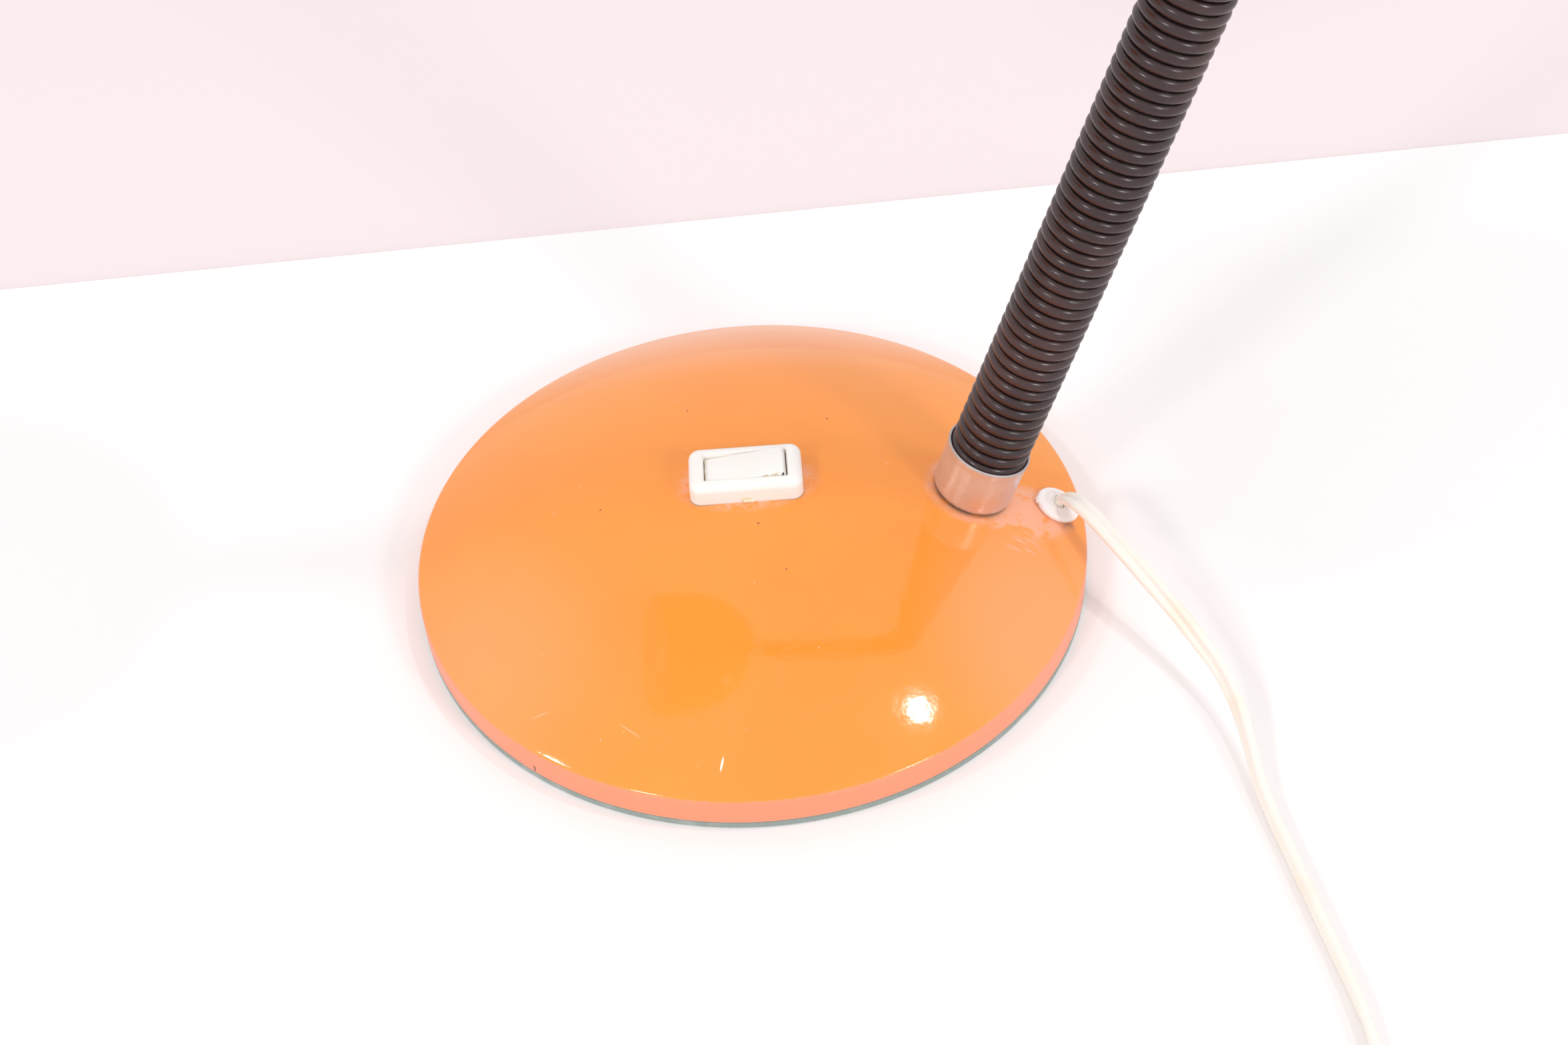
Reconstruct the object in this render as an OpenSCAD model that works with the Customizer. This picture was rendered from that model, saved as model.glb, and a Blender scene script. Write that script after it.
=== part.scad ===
// Gooseneck desk lamp: domed round base with a rocker switch, ribbed flexible
// neck, bell shade and a flat twin cord. Millimetres, +Z up, the origin at the
// centre of the underside, the neck and the cord on the +X side.

/* [Base] */
// Outer diameter of the base
base_d = 200; // [160:5:250]
// Height of the straight rim above the felt
rim_h = 8.7; // [6:0.1:14]
// Rise of the dome above the rim
dome_h = 24.5; // [18:0.5:32]
// Rounding between rim and dome
crease_r = 1.8; // [1.6:0.1:3]
// Sheet thickness of the base shell
shell_t = 1; // [0.8:0.1:1.4]
// Width of the lip turned in under the base plate
lip_w = 4; // [3:0.5:6]
// Felt thickness
felt_t = 2.5; // [1:0.5:4]
// How far the felt stands in from the rim
felt_inset = 0.4; // [0.2:0.1:2]
// Thickness of the base plate
plate_t = 1.2; // [0.8:0.2:2]
// Thickness of the ballast disc
ballast_t = 8; // [5:0.5:9]
// Space between the rim and the ballast disc
ballast_gap = 22; // [18:1:30]
// Diameter of the hole in the ballast disc
ballast_hole_d = 60; // [54:2:66]
// Thread diameter of the ballast screws
ballast_screw_d = 4; // [3:0.5:5]

/* [Switch] */
// Length of the switch frame, front to back of the lamp
frame_l = 33; // [30:0.5:38]
// Width of the switch frame
frame_w = 18; // [17:0.5:22]
// Height of the switch frame above the dome
frame_h = 6.3; // [5.5:0.1:8]
// Rounding of the frame's corners and upper edges
frame_r = 3; // [1.5:0.5:3.5]
// Length of the opening for the rocker
window_l = 24.6; // [22:0.2:26]
// Width of the opening for the rocker
window_w = 11.4; // [9:0.2:12]
// Depth of the switch body below the dome
switch_depth = 15; // [13:0.5:18]
// Wall of the switch body
switch_wall = 1.2; // [1:0.1:1.6]
// Tilt of the rocker to each side of level
rocker_tilt = 8; // [5:0.5:9]

/* [Neck] */
// Distance of the neck's foot from the rim
neck_edge = 34; // [32:1:38]
// Outer diameter of the ribbed sleeve
sleeve_d = 23; // [21:0.5:28]
// Depth of the grooves between the ribs
rib_depth = 1.4; // [0.8:0.1:1.6]
// Wall of the sleeve under the grooves
sleeve_wall = 1.2; // [0.8:0.1:1.4]
// Distance from rib to rib
rib_pitch = 3.74; // [3.4:0.02:4.6]
// Ribs to each link of the neck
ribs_per_link = 10; // [9:1:12]
// Distance from the dome to the first joint
foot_len = 60; // [50:1:80]
// Distance from the last joint to the shade
head_len = 40; // [36:1:60]
// Bend of the neck at each of the upper joints
bend_step = 22.5; // [15:0.5:25]
// Height of the sheet-metal ferrule at each end
ferrule_h = 17.5; // [12:0.5:22]
// Sheet thickness of the ferrules
ferrule_t = 0.6; // [0.5:0.1:0.8]
// Thread diameter of the hollow studs
stud_d = 10; // [9:0.5:10]
// Bore for the wires
wire_bore_d = 4; // [3:0.5:5]

/* [Head] */
// Diameter of the shade
shade_d = 150; // [130:5:170]
// Length of the straight skirt of the shade
skirt_h = 37; // [36:1:60]
// Sheet thickness of the shade
shade_t = 0.9; // [0.7:0.1:1.2]
// Diameter of the bead on the shade's rim
bead_d = 2.4; // [2:0.2:4]
// Diameter of the cooling holes in the shade
vent_d = 5; // [3:0.5:6]
// Number of cooling holes
vents = 10; // [6:1:12]
// Outer diameter of the lampholder
holder_d = 28; // [26:1:32]
// Length of the lampholder below its cap
holder_len = 32; // [30:1:36]
// Diameter of the bulb
bulb_d = 45; // [40:1:50]

/* [Cord] */
// Distance of the cord bush from the rim
bush_edge = 8.5; // [8:0.5:9]
// Diameter of the cord bush's flange
bush_d = 13.6; // [12:0.2:14.5]
// Width of the flat twin cord
cord_w = 5.4; // [5:0.1:5.6]
// Thickness of the flat twin cord
cord_t = 2.7; // [2.5:0.1:2.8]
// Diameter of a single insulated wire
wire_d = 2.4; // [2:0.1:2.6]

/* [Fits] */
// Space between parts that move past each other
move_gap = 0.3; // [0.25:0.05:0.4]
// Space round a part that is slipped into another
slip_gap = 0.3; // [0.2:0.05:0.4]
// Radial space in a threaded or turning joint
thread_gap = 0.08; // [0.05:0.01:0.1]
// Space under a part that is pressed or screwed down
seat_gap = 0.05; // [0.02:0.01:0.1]

/* [Hidden] */
$fn = 96;
big = 400;
joints = 11;
straight_joints = 5;
curl_more = 5;

base_r = base_d / 2;
crease_z = felt_t + rim_h;
dome_top = crease_z + dome_h;
dome_r = (base_r * base_r + dome_h * dome_h) / (2 * dome_h);
dome_cz = dome_top - dome_r;
plate_z = felt_t + shell_t;
ballast_z = plate_z + plate_t;
ballast_top = ballast_z + ballast_t;
ballast_r = base_r - ballast_gap;
ballast_screw_r = ballast_r - 12;
ballast_screw_angles = [70, 190, 310];
boss_r = ballast_screw_d / 2 + 3.5;

body_l = window_l + 2 * switch_wall;
body_w = window_w + 2 * switch_wall;
frame_z = dome_top + seat_gap;
frame_top = frame_z + frame_h;
floor_z = frame_z - switch_depth;
pivot_r = 1.4;
pivot_z = frame_top - 3.4;
rocker_end_r = window_l / 2 - move_gap;
rocker_w = window_w - 2 * move_gap;
rocker_top = 3.1;
plunger_r = 1.3;
blade_t = 0.8;
blade_w = 5;
blade_x = 8;
blade_len = 7;
plunger_z = -6.6;
plunger_end = plunger_r - plunger_z;

neck_r = base_r - neck_edge;
neck_lean = asin(neck_r / dome_r);
sleeve_r = sleeve_d / 2;
root_r = sleeve_r - rib_depth;
bore_r = root_r - sleeve_wall;
rib_w = rib_pitch * 0.64;
link_len = ribs_per_link * rib_pitch;
most_bend = bend_step + curl_more;
rib_clear = sleeve_r * tan(most_bend / 2) + move_gap;
root_clear = root_r * tan(most_bend / 2) + move_gap;
cup_r = bore_r - slip_gap;
ball_r = cup_r - 2.1;
socket_r = ball_r + move_gap;
cup_rise = 2.8;
collar_h = 9;
stem_r = 3.6;
ferrule_r = sleeve_r + slip_gap + ferrule_t;
ferrule_corner = 2.5;
floor_t = 0.8;
stud_r = stud_d / 2;
stud_hold = 13;
stud_bore_r = wire_bore_d / 2 + 1;
nut_t = 3.2;
washer_t = 1.2;
washer_r = stud_r + 4;
washer_z = -shell_t - sag(washer_r) - seat_gap - washer_t;
nut_z = washer_z - seat_gap - nut_t;
nut_af = stud_d + 5;

shade_r = shade_d / 2;
apex_r = ferrule_r + 3;
apex_t = shade_r - sqrt(shade_r * shade_r - apex_r * apex_r);
shade_len = shade_r + skirt_h - apex_t;
holder_r = holder_d / 2;
cap_z = shade_t + 3.4;
cap_len = 18;
holder_z = cap_z + cap_len;
holder_end = holder_z + holder_len;
bulb_foot = holder_z + 4.9;
bulb_cap_r = 6.9;
bulb_cap_len = 24;
bulb_r = bulb_d / 2;
bulb_z = holder_end + bulb_r + 3.5;
glass_t = 0.7;

bush_r = bush_d / 2;
bush_pos = base_r - bush_edge;
bush_lean = asin(bush_pos / dome_r);
bush_neck_r = bush_r - 1.8;
bush_t = 2;
clamp_x = ballast_r - 12;
clamp_y = -24;
clamp_turn = -90;
clamp_screw_x = 8;
clamp_screw_r = 1.25;
clamp_h = wire_d + 1.6;

// The runs of cord and wire are laid for a base of this radius; past the switch they keep
// their distance from the rim when the base grows or shrinks
laid_base_r = 100;
// Free cord: out of the bush in the bush's own frame, then on to the coil
cord_start = [
    [-0.02, 0, 0.99], [-0.02, 0, 2.64], [0.03, -0.9, 4.65],
    [0.57, -4, 7.77], [2.91, -9.4, 10.08], [6.79, -16.4, 11.23]
];
cord_run = [
    [106.8, -24, 21.3], [112.6, -34, 19.1], [118.3, -43.9, 16.8], [124, -54.6, 14.1],
    [129.1, -65.5, 11.3], [131.8, -76.1, 8.6], [133, -87, 5.9], [133.6, -98, 3.6],
    [135, -109, 2.1], [137.2, -122, 1.5], [139.3, -135, 1.4], [141.2, -147, 1.4],
    [143.2, -159, 1.4], [144.9, -171, 1.4], [146.1, -183, 1.4], [146.9, -196, 1.4],
    [147.2, -209, 1.4], [147.3, -222, 1.4], [147.3, -234, 1.4]
];
// Cord from the top of the coil to the plug
plug_run = [
    [147.3, -234, 12.6], [145, -246, 12.6], [138.2, -256.2, 12.6], [128, -263, 12.6],
    [116, -265.4, 12.6], [106, -265.5, 12.6], [97, -265.5, 12.6], [88, -265.5, 11.2],
    [79, -265.5, 8.6], [71, -265.5, 7.2], [65.1, -265.5, 7.1]
];
coil_x = base_r + 16;
coil_y = -234;
coil_mid_r = 28.5;
coil_columns = 2;
coil_layers = 4;
column_w = 5.5;
layer_h = 2.8;
plug_x = base_r - 35;
plug_y = -265.5;
plug_z = 7.1;
plug_len = 35;
plug_w = 26;
plug_t = 14;
pin_r = 2;
pin_len = 19;
pin_spread = 18.6;

// Middle of the twin flex inside the base: out of the bush in the bush's own frame, then
// on to past the clamp
flex_start = [[-0.03, 0, 0.76], [0.02, 0, -2.41], [0.01, -1.4, -6.17]];
flex_run = [
    [86.4, -4.6, 7.4], [83.9, -9, 7.2], [81.9, -13, 9.4], [79.6, -16.8, 12.3],
    [75.8, -20.4, 14.1], [71, -23.2, 14.1], [66, -24, 14.1], [60, -24, 14.1]
];
// Single wires: live and neutral from the flex, switched from the switch to the neck; the
// ends in the neck's stud are in the neck's own frame
live_run = [
    [54, -26.5, 14.2], [46, -28, 14.4], [36, -26, 14.7], [25, -20, 15], [17, -10, 15.2],
    [13, -2.6, 15.1], [10.6, 0, 15.1], [8.5, 0, 15.1]
];
neutral_run = [
    [54.5, -21.5, 14.1], [51.2, -17, 14.2], [52, -11, 14.5], [56, -6, 14.8], [60.2, -3, 15.8]
];
switched_run = [
    [-8.5, 0, 15.1], [-10.6, 0, 15.1], [-13, 2.6, 15.1], [-12.6, 7, 15], [-6, 11.5, 14.8],
    [6, 14, 14.6], [20, 14.5, 14.4], [36, 13, 14.3], [48, 10, 14.5], [56, 5.8, 15], [60.4, 2.8, 16]
];
stud_run = [[-0.67, 1.3, -8.39], [-0.13, 1.3, -5.49]];
// Single wires in the head's frame, from the stud's bore to the holder's terminals
head_wire_points = [
    [1.2, 0, 7], [1.3, 0, 9.5], [2.2, 0, 11.3], [3.5, 0, 12.6], [4.1, 0, 13.9], [4.2, 0, 15.2]
];

// ---- Frames ----

// How far the inside of the dome falls away at r from a point on it
function sag(r) = dome_r - shell_t - sqrt((dome_r - shell_t) * (dome_r - shell_t) - r * r);
function dome_z(r) = dome_cz + sqrt(dome_r * dome_r - r * r);
function unit(v) = v / norm(v);
function tilt(a) = [sin(a), 0, cos(a)];
// A point given in the frame of a place on the dome
function from_dome(r, a, v) = [
    r + v[0] * cos(a) + v[2] * sin(a), v[1], dome_z(r) - v[0] * sin(a) + v[2] * cos(a)
];
function at_bush(p) = [for (v = p) from_dome(bush_pos, bush_lean, v)];
function in_stud(side) = [for (v = stud_run) from_dome(neck_r, neck_lean, [v[0], side * v[1], v[2]])];
// Points laid for laid_base_r, moved with the rim
function laid_x(x) = x + (base_r - laid_base_r) * min(1, max(0, (x - 13) / 35));
function laid(p) = [for (v = p) [laid_x(v[0]), v[1], v[2]]];
// Lean of link k from the vertical, towards the back
function lean(k) = neck_lean - bend_step * max(0, k - straight_joints);
// Place of joint k; joint 12 is the shade's apex
function joint_at(k) =
    k == 0 ? [neck_r, 0, dome_z(neck_r)]
    : k == 1 ? joint_at(0) + foot_len * tilt(lean(0))
    : joint_at(k - 1) + (k > joints ? head_len : link_len) * tilt(lean(k - 1));

module on_link(k) {
    translate(joint_at(k)) rotate([0, lean(k), 0]) children();
}

// The head's own frame: the shade's apex at the origin, its axis along +Z
module on_head() {
    translate(joint_at(joints + 1)) rotate([0, lean(joints), 0]) children();
}

module on_dome(r, a) {
    translate([r, 0, dome_z(r)]) rotate([0, a, 0]) children();
}

// ---- Plain shapes ----

module tube(ro, ri, h) {
    difference() {
        cylinder(r = ro, h = h);
        translate([0, 0, -1]) cylinder(r = ri, h = h + 2);
    }
}

module hex_nut(af, h, hole_r) {
    difference() {
        cylinder(d = af / cos(30), h = h, $fn = 6);
        translate([0, 0, -1]) cylinder(r = hole_r, h = h + 2);
    }
}

module round_rect(l, w, h, r) {
    cube_at(l - 2 * r, w, h);
    cube_at(l, w - 2 * r, h);
    for (x = [-1, 1], y = [-1, 1])
        translate([x * (l / 2 - r), y * (w / 2 - r), 0]) cylinder(r = r, h = h);
}

module cube_at(l, w, h) {
    translate([-l / 2, -w / 2, 0]) cube([l, w, h]);
}

// Outer outline of the shell, drawn in by d
module dome_outline(d) {
    r = base_r - d;
    s = dome_r - d;
    c = crease_r - d;
    cz = dome_cz + sqrt((s - c) * (s - c) - (r - c) * (r - c));
    a = atan2(r - c, cz - dome_cz);
    polygon([[0, felt_t], [r, felt_t], [r, cz], [s * sin(a), dome_cz + s * cos(a)],
             [0, dome_cz + s * cos(a)]]);
    translate([r - c, cz]) circle(r = c);
    intersection() {
        translate([0, dome_cz]) circle(r = s, $fn = 360);
        translate([0, dome_cz + s * cos(a)]) square([s * sin(a), big]);
    }
}

// Flat oval cord swept along points, its width kept level
function side_of(t) = unit([-t[1], t[0], 0]);
function run_at(p, i) = unit(p[min(i + 1, len(p) - 1)] - p[max(i - 1, 0)]);
module sweep(p, w, h) {
    n = len(p);
    sides = 8;
    rings = [for (i = [0:n - 1])
        let (t = run_at(p, i), s = side_of(t), u = cross(t, s))
        for (j = [0:sides - 1])
            p[i] + s * w / 2 * cos(j * 360 / sides + 22.5) + u * h / 2 * sin(j * 360 / sides + 22.5)];
    skin = [for (i = [0:n - 2], j = [0:sides - 1])
        let (a = i * sides + j, b = i * sides + (j + 1) % sides)
        each [[a, b + sides, b], [a, a + sides, b + sides]]];
    first = [for (j = [1:sides - 2]) [0, j, j + 1]];
    last = [for (j = [1:sides - 2]) [(n - 1) * sides, (n - 1) * sides + j + 1, (n - 1) * sides + j]];
    polyhedron(rings, concat(skin, first, last));
}

// ---- Base ----

module base_shell() {
    color([1, 0.62, 0.32]) difference() {
        rotate_extrude() difference() {
            dome_outline(0);
            difference() {
                dome_outline(shell_t);
                translate([0, felt_t]) square([base_r, shell_t]);
            }
            translate([0, felt_t - 1]) square([base_r - lip_w, 2 + shell_t]);
        }
        cube_at(body_l + 2 * slip_gap, body_w + 2 * slip_gap, big);
        on_dome(neck_r, neck_lean) cylinder(r = stud_r + slip_gap, h = 20, center = true);
        on_dome(bush_pos, bush_lean) cylinder(r = bush_neck_r + seat_gap, h = 20, center = true);
    }
}

module at_ballast_screws() {
    for (a = ballast_screw_angles)
        rotate([0, 0, a]) translate([ballast_screw_r, 0, 0]) children();
}

module base_plate() {
    color([0.6, 0.6, 0.58]) difference() {
        translate([0, 0, plate_z]) cylinder(r = base_r - shell_t - slip_gap, h = plate_t);
        at_ballast_screws() translate([0, 0, plate_z - 1]) screw_head(1, slip_gap);
    }
}

module felt_pad() {
    color([0.62, 0.68, 0.62]) cylinder(r = base_r - felt_inset, h = felt_t);
}

module ballast_disc() {
    chamfer = 1;
    color([0.25, 0.25, 0.26]) difference() {
        translate([0, 0, ballast_z]) rotate_extrude() polygon([
            [ballast_hole_d / 2, 0], [ballast_r - chamfer, 0], [ballast_r, chamfer],
            [ballast_r, ballast_t - chamfer], [ballast_r - chamfer, ballast_t],
            [ballast_hole_d / 2, ballast_t]]);
        at_ballast_screws() translate([0, 0, ballast_z - 1])
            cylinder(r = ballast_screw_d / 2 + slip_gap, h = ballast_t + 2);
        at_clamp() for (x = [-1, 1]) translate([x * clamp_screw_x, 0, -6])
            cylinder(r = clamp_screw_r + thread_gap, h = 8);
    }
}

module ballast_bosses() {
    color([0.6, 0.6, 0.58]) difference() {
        intersection() {
            at_ballast_screws() translate([0, 0, ballast_top]) cylinder(r = boss_r, h = 20);
            translate([0, 0, dome_cz]) sphere(r = dome_r - shell_t - seat_gap, $fn = 360);
        }
        at_ballast_screws() translate([0, 0, ballast_top - 1])
            cylinder(r = ballast_screw_d / 2 + thread_gap, h = 5);
    }
}

// Countersunk head, its flat top at the origin's height plus up
module screw_head(up, gap) {
    r = ballast_screw_d / 2 + gap;
    translate([0, 0, -up]) cylinder(r = r + 1.2, h = 2 * up + 0.01);
    translate([0, 0, up]) cylinder(r1 = r + 1.2, r2 = r, h = 1.2);
    translate([0, 0, up]) cylinder(r = r, h = plate_t + 1);
}

module ballast_screws() {
    head = 0.7;
    r = ballast_screw_d / 2;
    color([0.75, 0.75, 0.74]) at_ballast_screws() difference() {
        union() {
            translate([0, 0, plate_z]) cylinder(r1 = r + 1, r2 = r, h = head);
            translate([0, 0, plate_z + head]) cylinder(r = r, h = plate_t + ballast_t + 3 - head);
        }
        translate([-0.4, -r, plate_z - 1]) cube([0.8, 2 * r, 1.4]);
    }
}

// ---- Neck mountings ----

module ferrule() {
    inner = ferrule_r - ferrule_t;
    corner = ferrule_corner - ferrule_t;
    rotate_extrude() difference() {
        union() {
            translate([stud_r + slip_gap, 0])
                square([ferrule_r - ferrule_corner - stud_r - slip_gap, ferrule_corner]);
            translate([ferrule_r - ferrule_corner, ferrule_corner]) circle(r = ferrule_corner);
            translate([stud_r + slip_gap, ferrule_corner])
                square([ferrule_r - stud_r - slip_gap, ferrule_h - ferrule_corner]);
        }
        translate([0, floor_t]) square([inner - corner, ferrule_h]);
        translate([inner - corner, floor_t + corner]) circle(r = corner);
        translate([0, floor_t + corner]) square([inner, ferrule_h]);
        translate([-1, -1]) square([stud_r + slip_gap + 1, big]);
    }
}

module foot_ferrule() {
    color([0.72, 0.7, 0.69]) on_link(0) translate([0, 0, seat_gap]) ferrule();
}

module foot_stud() {
    end = nut_z - 1;
    color([0.8, 0.72, 0.45]) on_link(0) translate([0, 0, end])
        tube(stud_r, stud_bore_r, floor_t + stud_hold - end);
}

module foot_washer() {
    color([0.75, 0.75, 0.74]) on_link(0) translate([0, 0, washer_z])
        tube(washer_r, stud_r + slip_gap, washer_t);
}

module foot_nut() {
    color([0.75, 0.75, 0.74]) on_link(0) translate([0, 0, nut_z])
        hex_nut(nut_af, nut_t, stud_r + thread_gap);
}

// ---- Switch ----

module switch_frame() {
    color([0.97, 0.95, 0.9]) difference() {
        union() {
            translate([0, 0, frame_z]) {
                round_rect(frame_l, frame_w, frame_h - frame_r, frame_r);
                cube_at(frame_l - 2 * frame_r, frame_w - 2 * frame_r, frame_h);
                translate([0, 0, frame_h - frame_r]) rounded_edges();
            }
            translate([0, 0, floor_z]) cube_at(body_l, body_w, switch_depth + 1);
            for (x = [-1, 1]) translate([x * (body_l / 2 + 0.4), 0, dome_top - shell_t - 4.3])
                cube_at(1.2, 5, 3);
        }
        translate([0, 0, floor_z + switch_wall]) cube_at(window_l, window_w, big);
        translate([0, 0, pivot_z]) rotate([90, 0, 0])
            cylinder(r = pivot_r + thread_gap, h = window_w + 3.6, center = true);
        for (x = [-1, 0, 1]) translate([x * blade_x, 0, floor_z - 1])
            cube_at(blade_t + 2 * seat_gap, blade_w + 2 * seat_gap, switch_wall + 2);
    }
}

module rounded_edges() {
    x = frame_l / 2 - frame_r;
    y = frame_w / 2 - frame_r;
    for (i = [-1, 1], j = [-1, 1]) translate([i * x, j * y, 0]) sphere(r = frame_r);
    for (j = [-1, 1]) translate([0, j * y, 0]) rotate([0, 90, 0])
        cylinder(r = frame_r, h = 2 * x, center = true);
    for (i = [-1, 1]) translate([i * x, 0, 0]) rotate([90, 0, 0])
        cylinder(r = frame_r, h = 2 * y, center = true);
}

// The rocker's own frame: its pivot at the origin, level
module on_rocker() {
    translate([0, 0, pivot_z]) rotate([0, -rocker_tilt, 0]) children();
}

module switch_rocker() {
    color([0.98, 0.97, 0.93]) on_rocker() difference() {
        union() {
            intersection() {
                rotate([90, 0, 0]) cylinder(r = rocker_end_r, h = rocker_w, center = true);
                translate([0, 0, -2.4]) cube_at(window_l, rocker_w, rocker_top + 2.4);
            }
            rotate([90, 0, 0]) cylinder(r = pivot_r, h = window_w + 3, center = true);
            translate([0, 0, -4.4]) cylinder(r = plunger_r + 1, h = 4);
        }
        translate([0, 0, -5]) cylinder(r = plunger_r + move_gap, h = 6.6);
    }
}

module switch_plunger() {
    color([0.85, 0.82, 0.7]) on_rocker() {
        translate([0, 0, plunger_z]) cylinder(r = plunger_r, h = 3.6);
        translate([0, 0, plunger_z]) sphere(r = plunger_r);
    }
}

module switch_spring() {
    wire = 0.6;
    turns = 4.5;
    rise = 3.8;
    color([0.7, 0.7, 0.7]) on_rocker() translate([0, 0, -2.6])
        sweep([for (i = [0:12 * turns]) [cos(30 * i), sin(30 * i), rise / turns * i / 12]],
              wire, wire);
}

// Leaf with the rocker's plunger on it, and the blades that pass the floor
module switch_contacts() {
    leaf_t = 0.5;
    top = pivot_z - plunger_end - move_gap - leaf_t;
    color([0.85, 0.7, 0.4]) {
        for (x = [-1, 0, 1]) translate([x * blade_x, 0, floor_z - blade_len])
            cube_at(blade_t, blade_w, top - floor_z + blade_len - (x == 0 ? 0 : 0.5));
        translate([0, 0, top]) cube_at(2 * blade_x + 1, blade_w - 1, leaf_t);
    }
}

// ---- Cord fittings ----

module cord_bush() {
    hole = cord_w / 2 + 0.12;
    color([0.95, 0.94, 0.95]) on_dome(bush_pos, bush_lean) rotate_extrude() {
        difference() {
            union() {
                translate([0, seat_gap]) square([bush_r - bush_t / 2, bush_t]);
                translate([bush_r - bush_t / 2, seat_gap + bush_t / 2]) circle(r = bush_t / 2);
                translate([0, -shell_t - 2.4]) square([bush_neck_r, shell_t + 3]);
            }
            translate([0, -shell_t - 4]) square([hole, 12]);
            translate([-12, -12]) square([12, 24]);
        }
    }
}

module at_clamp() {
    translate([clamp_x, clamp_y, ballast_top]) rotate([0, 0, clamp_turn]) children();
}

module cord_clamp() {
    color([0.2, 0.2, 0.2]) at_clamp() difference() {
        translate([0, 0, seat_gap]) round_rect(2 * clamp_screw_x + 6, 6, clamp_h, 2.9);
        translate([0, 0, -1]) cube_at(2 * wire_d + 1.4, 10, wire_d + 1.2);
        for (x = [-1, 1]) translate([x * clamp_screw_x, 0, -1])
            cylinder(r = clamp_screw_r + slip_gap, h = 10);
    }
}

module clamp_screws() {
    top = clamp_h + 2 * seat_gap;
    color([0.75, 0.75, 0.74]) at_clamp() for (x = [-1, 1]) translate([x * clamp_screw_x, 0, 0]) {
        translate([0, 0, -5]) cylinder(r = clamp_screw_r, h = 5.5 + top);
        translate([0, 0, top]) cylinder(r = 2.4, h = 1.2);
    }
}

// The flex's own wires lie side by side, to each side of its middle
function beside(p, d) = [for (i = [0:len(p) - 1]) p[i] + d * side_of(run_at(p, i))];

module base_wires() {
    half = wire_d / 2 + seat_gap;
    flex = concat(at_bush(flex_start), laid(flex_run));
    color([0.95, 0.93, 0.85]) {
        sweep(concat(beside(flex, half), laid(live_run)), wire_d, wire_d);
        sweep(concat(beside(flex, -half), laid(neutral_run), in_stud(-1)), wire_d, wire_d);
        sweep(concat(laid(switched_run), in_stud(1)), wire_d, wire_d);
    }
}

module head_wires() {
    color([0.95, 0.93, 0.85]) on_head() {
        sweep(head_wire_points, wire_d, wire_d);
        rotate([0, 0, 180]) sweep(head_wire_points, wire_d, wire_d);
    }
}

// ---- Cord and plug ----

module power_cord() {
    color([0.98, 0.96, 0.88])
        sweep(concat(at_bush(cord_start), laid(cord_run)), cord_w, cord_t);
}

module cord_coil() {
    half = coil_columns * column_w / 2;
    color([0.98, 0.96, 0.88]) translate([coil_x, coil_y, 0]) rotate_extrude()
        translate([coil_mid_r - half, 0]) square([2 * half, coil_layers * layer_h]);
}

module plug_lead() {
    color([0.98, 0.96, 0.88]) sweep(laid(plug_run), cord_w, cord_t);
}

// The plug's frame: the cord entry at the origin, the pins towards +Z
module on_plug() {
    translate([plug_x, plug_y, plug_z]) rotate([0, -90, 0]) children();
}

module plug_body() {
    neck_w = 11;
    slope = 20;
    color([0.98, 0.97, 0.93]) on_plug() difference() {
        intersection() {
            rotate([0, 90, 0]) translate([0, 0, -plug_t / 2]) linear_extrude(plug_t)
                polygon([[0, -neck_w / 2], [-slope, -plug_w / 2], [-plug_len, -plug_w / 2],
                         [-plug_len, plug_w / 2], [-slope, plug_w / 2], [0, neck_w / 2]]);
            translate([0, 0, -1]) round_rect(plug_t, plug_w, plug_len + 2, 5);
        }
        for (y = [-1, 1]) translate([0, y * pin_spread / 2, plug_len - 12])
            cylinder(r = pin_r + seat_gap, h = 14);
    }
}

module plug_pins() {
    color([0.85, 0.83, 0.78]) on_plug() for (y = [-1, 1])
        translate([0, y * pin_spread / 2, plug_len - 11.8]) {
            cylinder(r = pin_r, h = pin_len + 11.8 - pin_r);
            translate([0, 0, pin_len + 11.8 - pin_r]) sphere(r = pin_r);
        }
}

// ---- Neck ----

// Cup for the ball of the next link, its centre at height z
module cup(z) {
    difference() {
        union() {
            translate([0, 0, z - collar_h]) cylinder(r = cup_r, h = collar_h - 2.4);
            intersection() {
                translate([0, 0, z]) sphere(r = cup_r);
                translate([0, 0, z - collar_h]) cylinder(r = cup_r + 1, h = collar_h + cup_rise);
            }
        }
        translate([0, 0, z]) sphere(r = socket_r);
    }
}

module foot_core() {
    difference() {
        union() {
            translate([0, 0, floor_t + 2 * seat_gap])
                cylinder(r = cup_r, h = foot_len - collar_h - floor_t);
            cup(foot_len);
        }
        translate([0, 0, -1]) cylinder(r = stud_r + thread_gap, h = 1 + floor_t + stud_hold + 1);
        cylinder(r = wire_bore_d / 2, h = foot_len);
        translate([0, 0, floor_t + stud_hold + 5])
            cylinder(r = cup_r - 3, h = foot_len - collar_h - floor_t - stud_hold - 10);
    }
}

module core_link() {
    difference() {
        union() {
            sphere(r = ball_r);
            cylinder(r = stem_r, h = link_len - collar_h);
            translate([0, 0, link_len - 2 * collar_h])
                cylinder(r1 = stem_r, r2 = cup_r, h = collar_h);
            cup(link_len);
        }
        translate([0, 0, -ball_r - 1]) cylinder(r = wire_bore_d / 2, h = link_len + ball_r + 1);
    }
}

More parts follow.
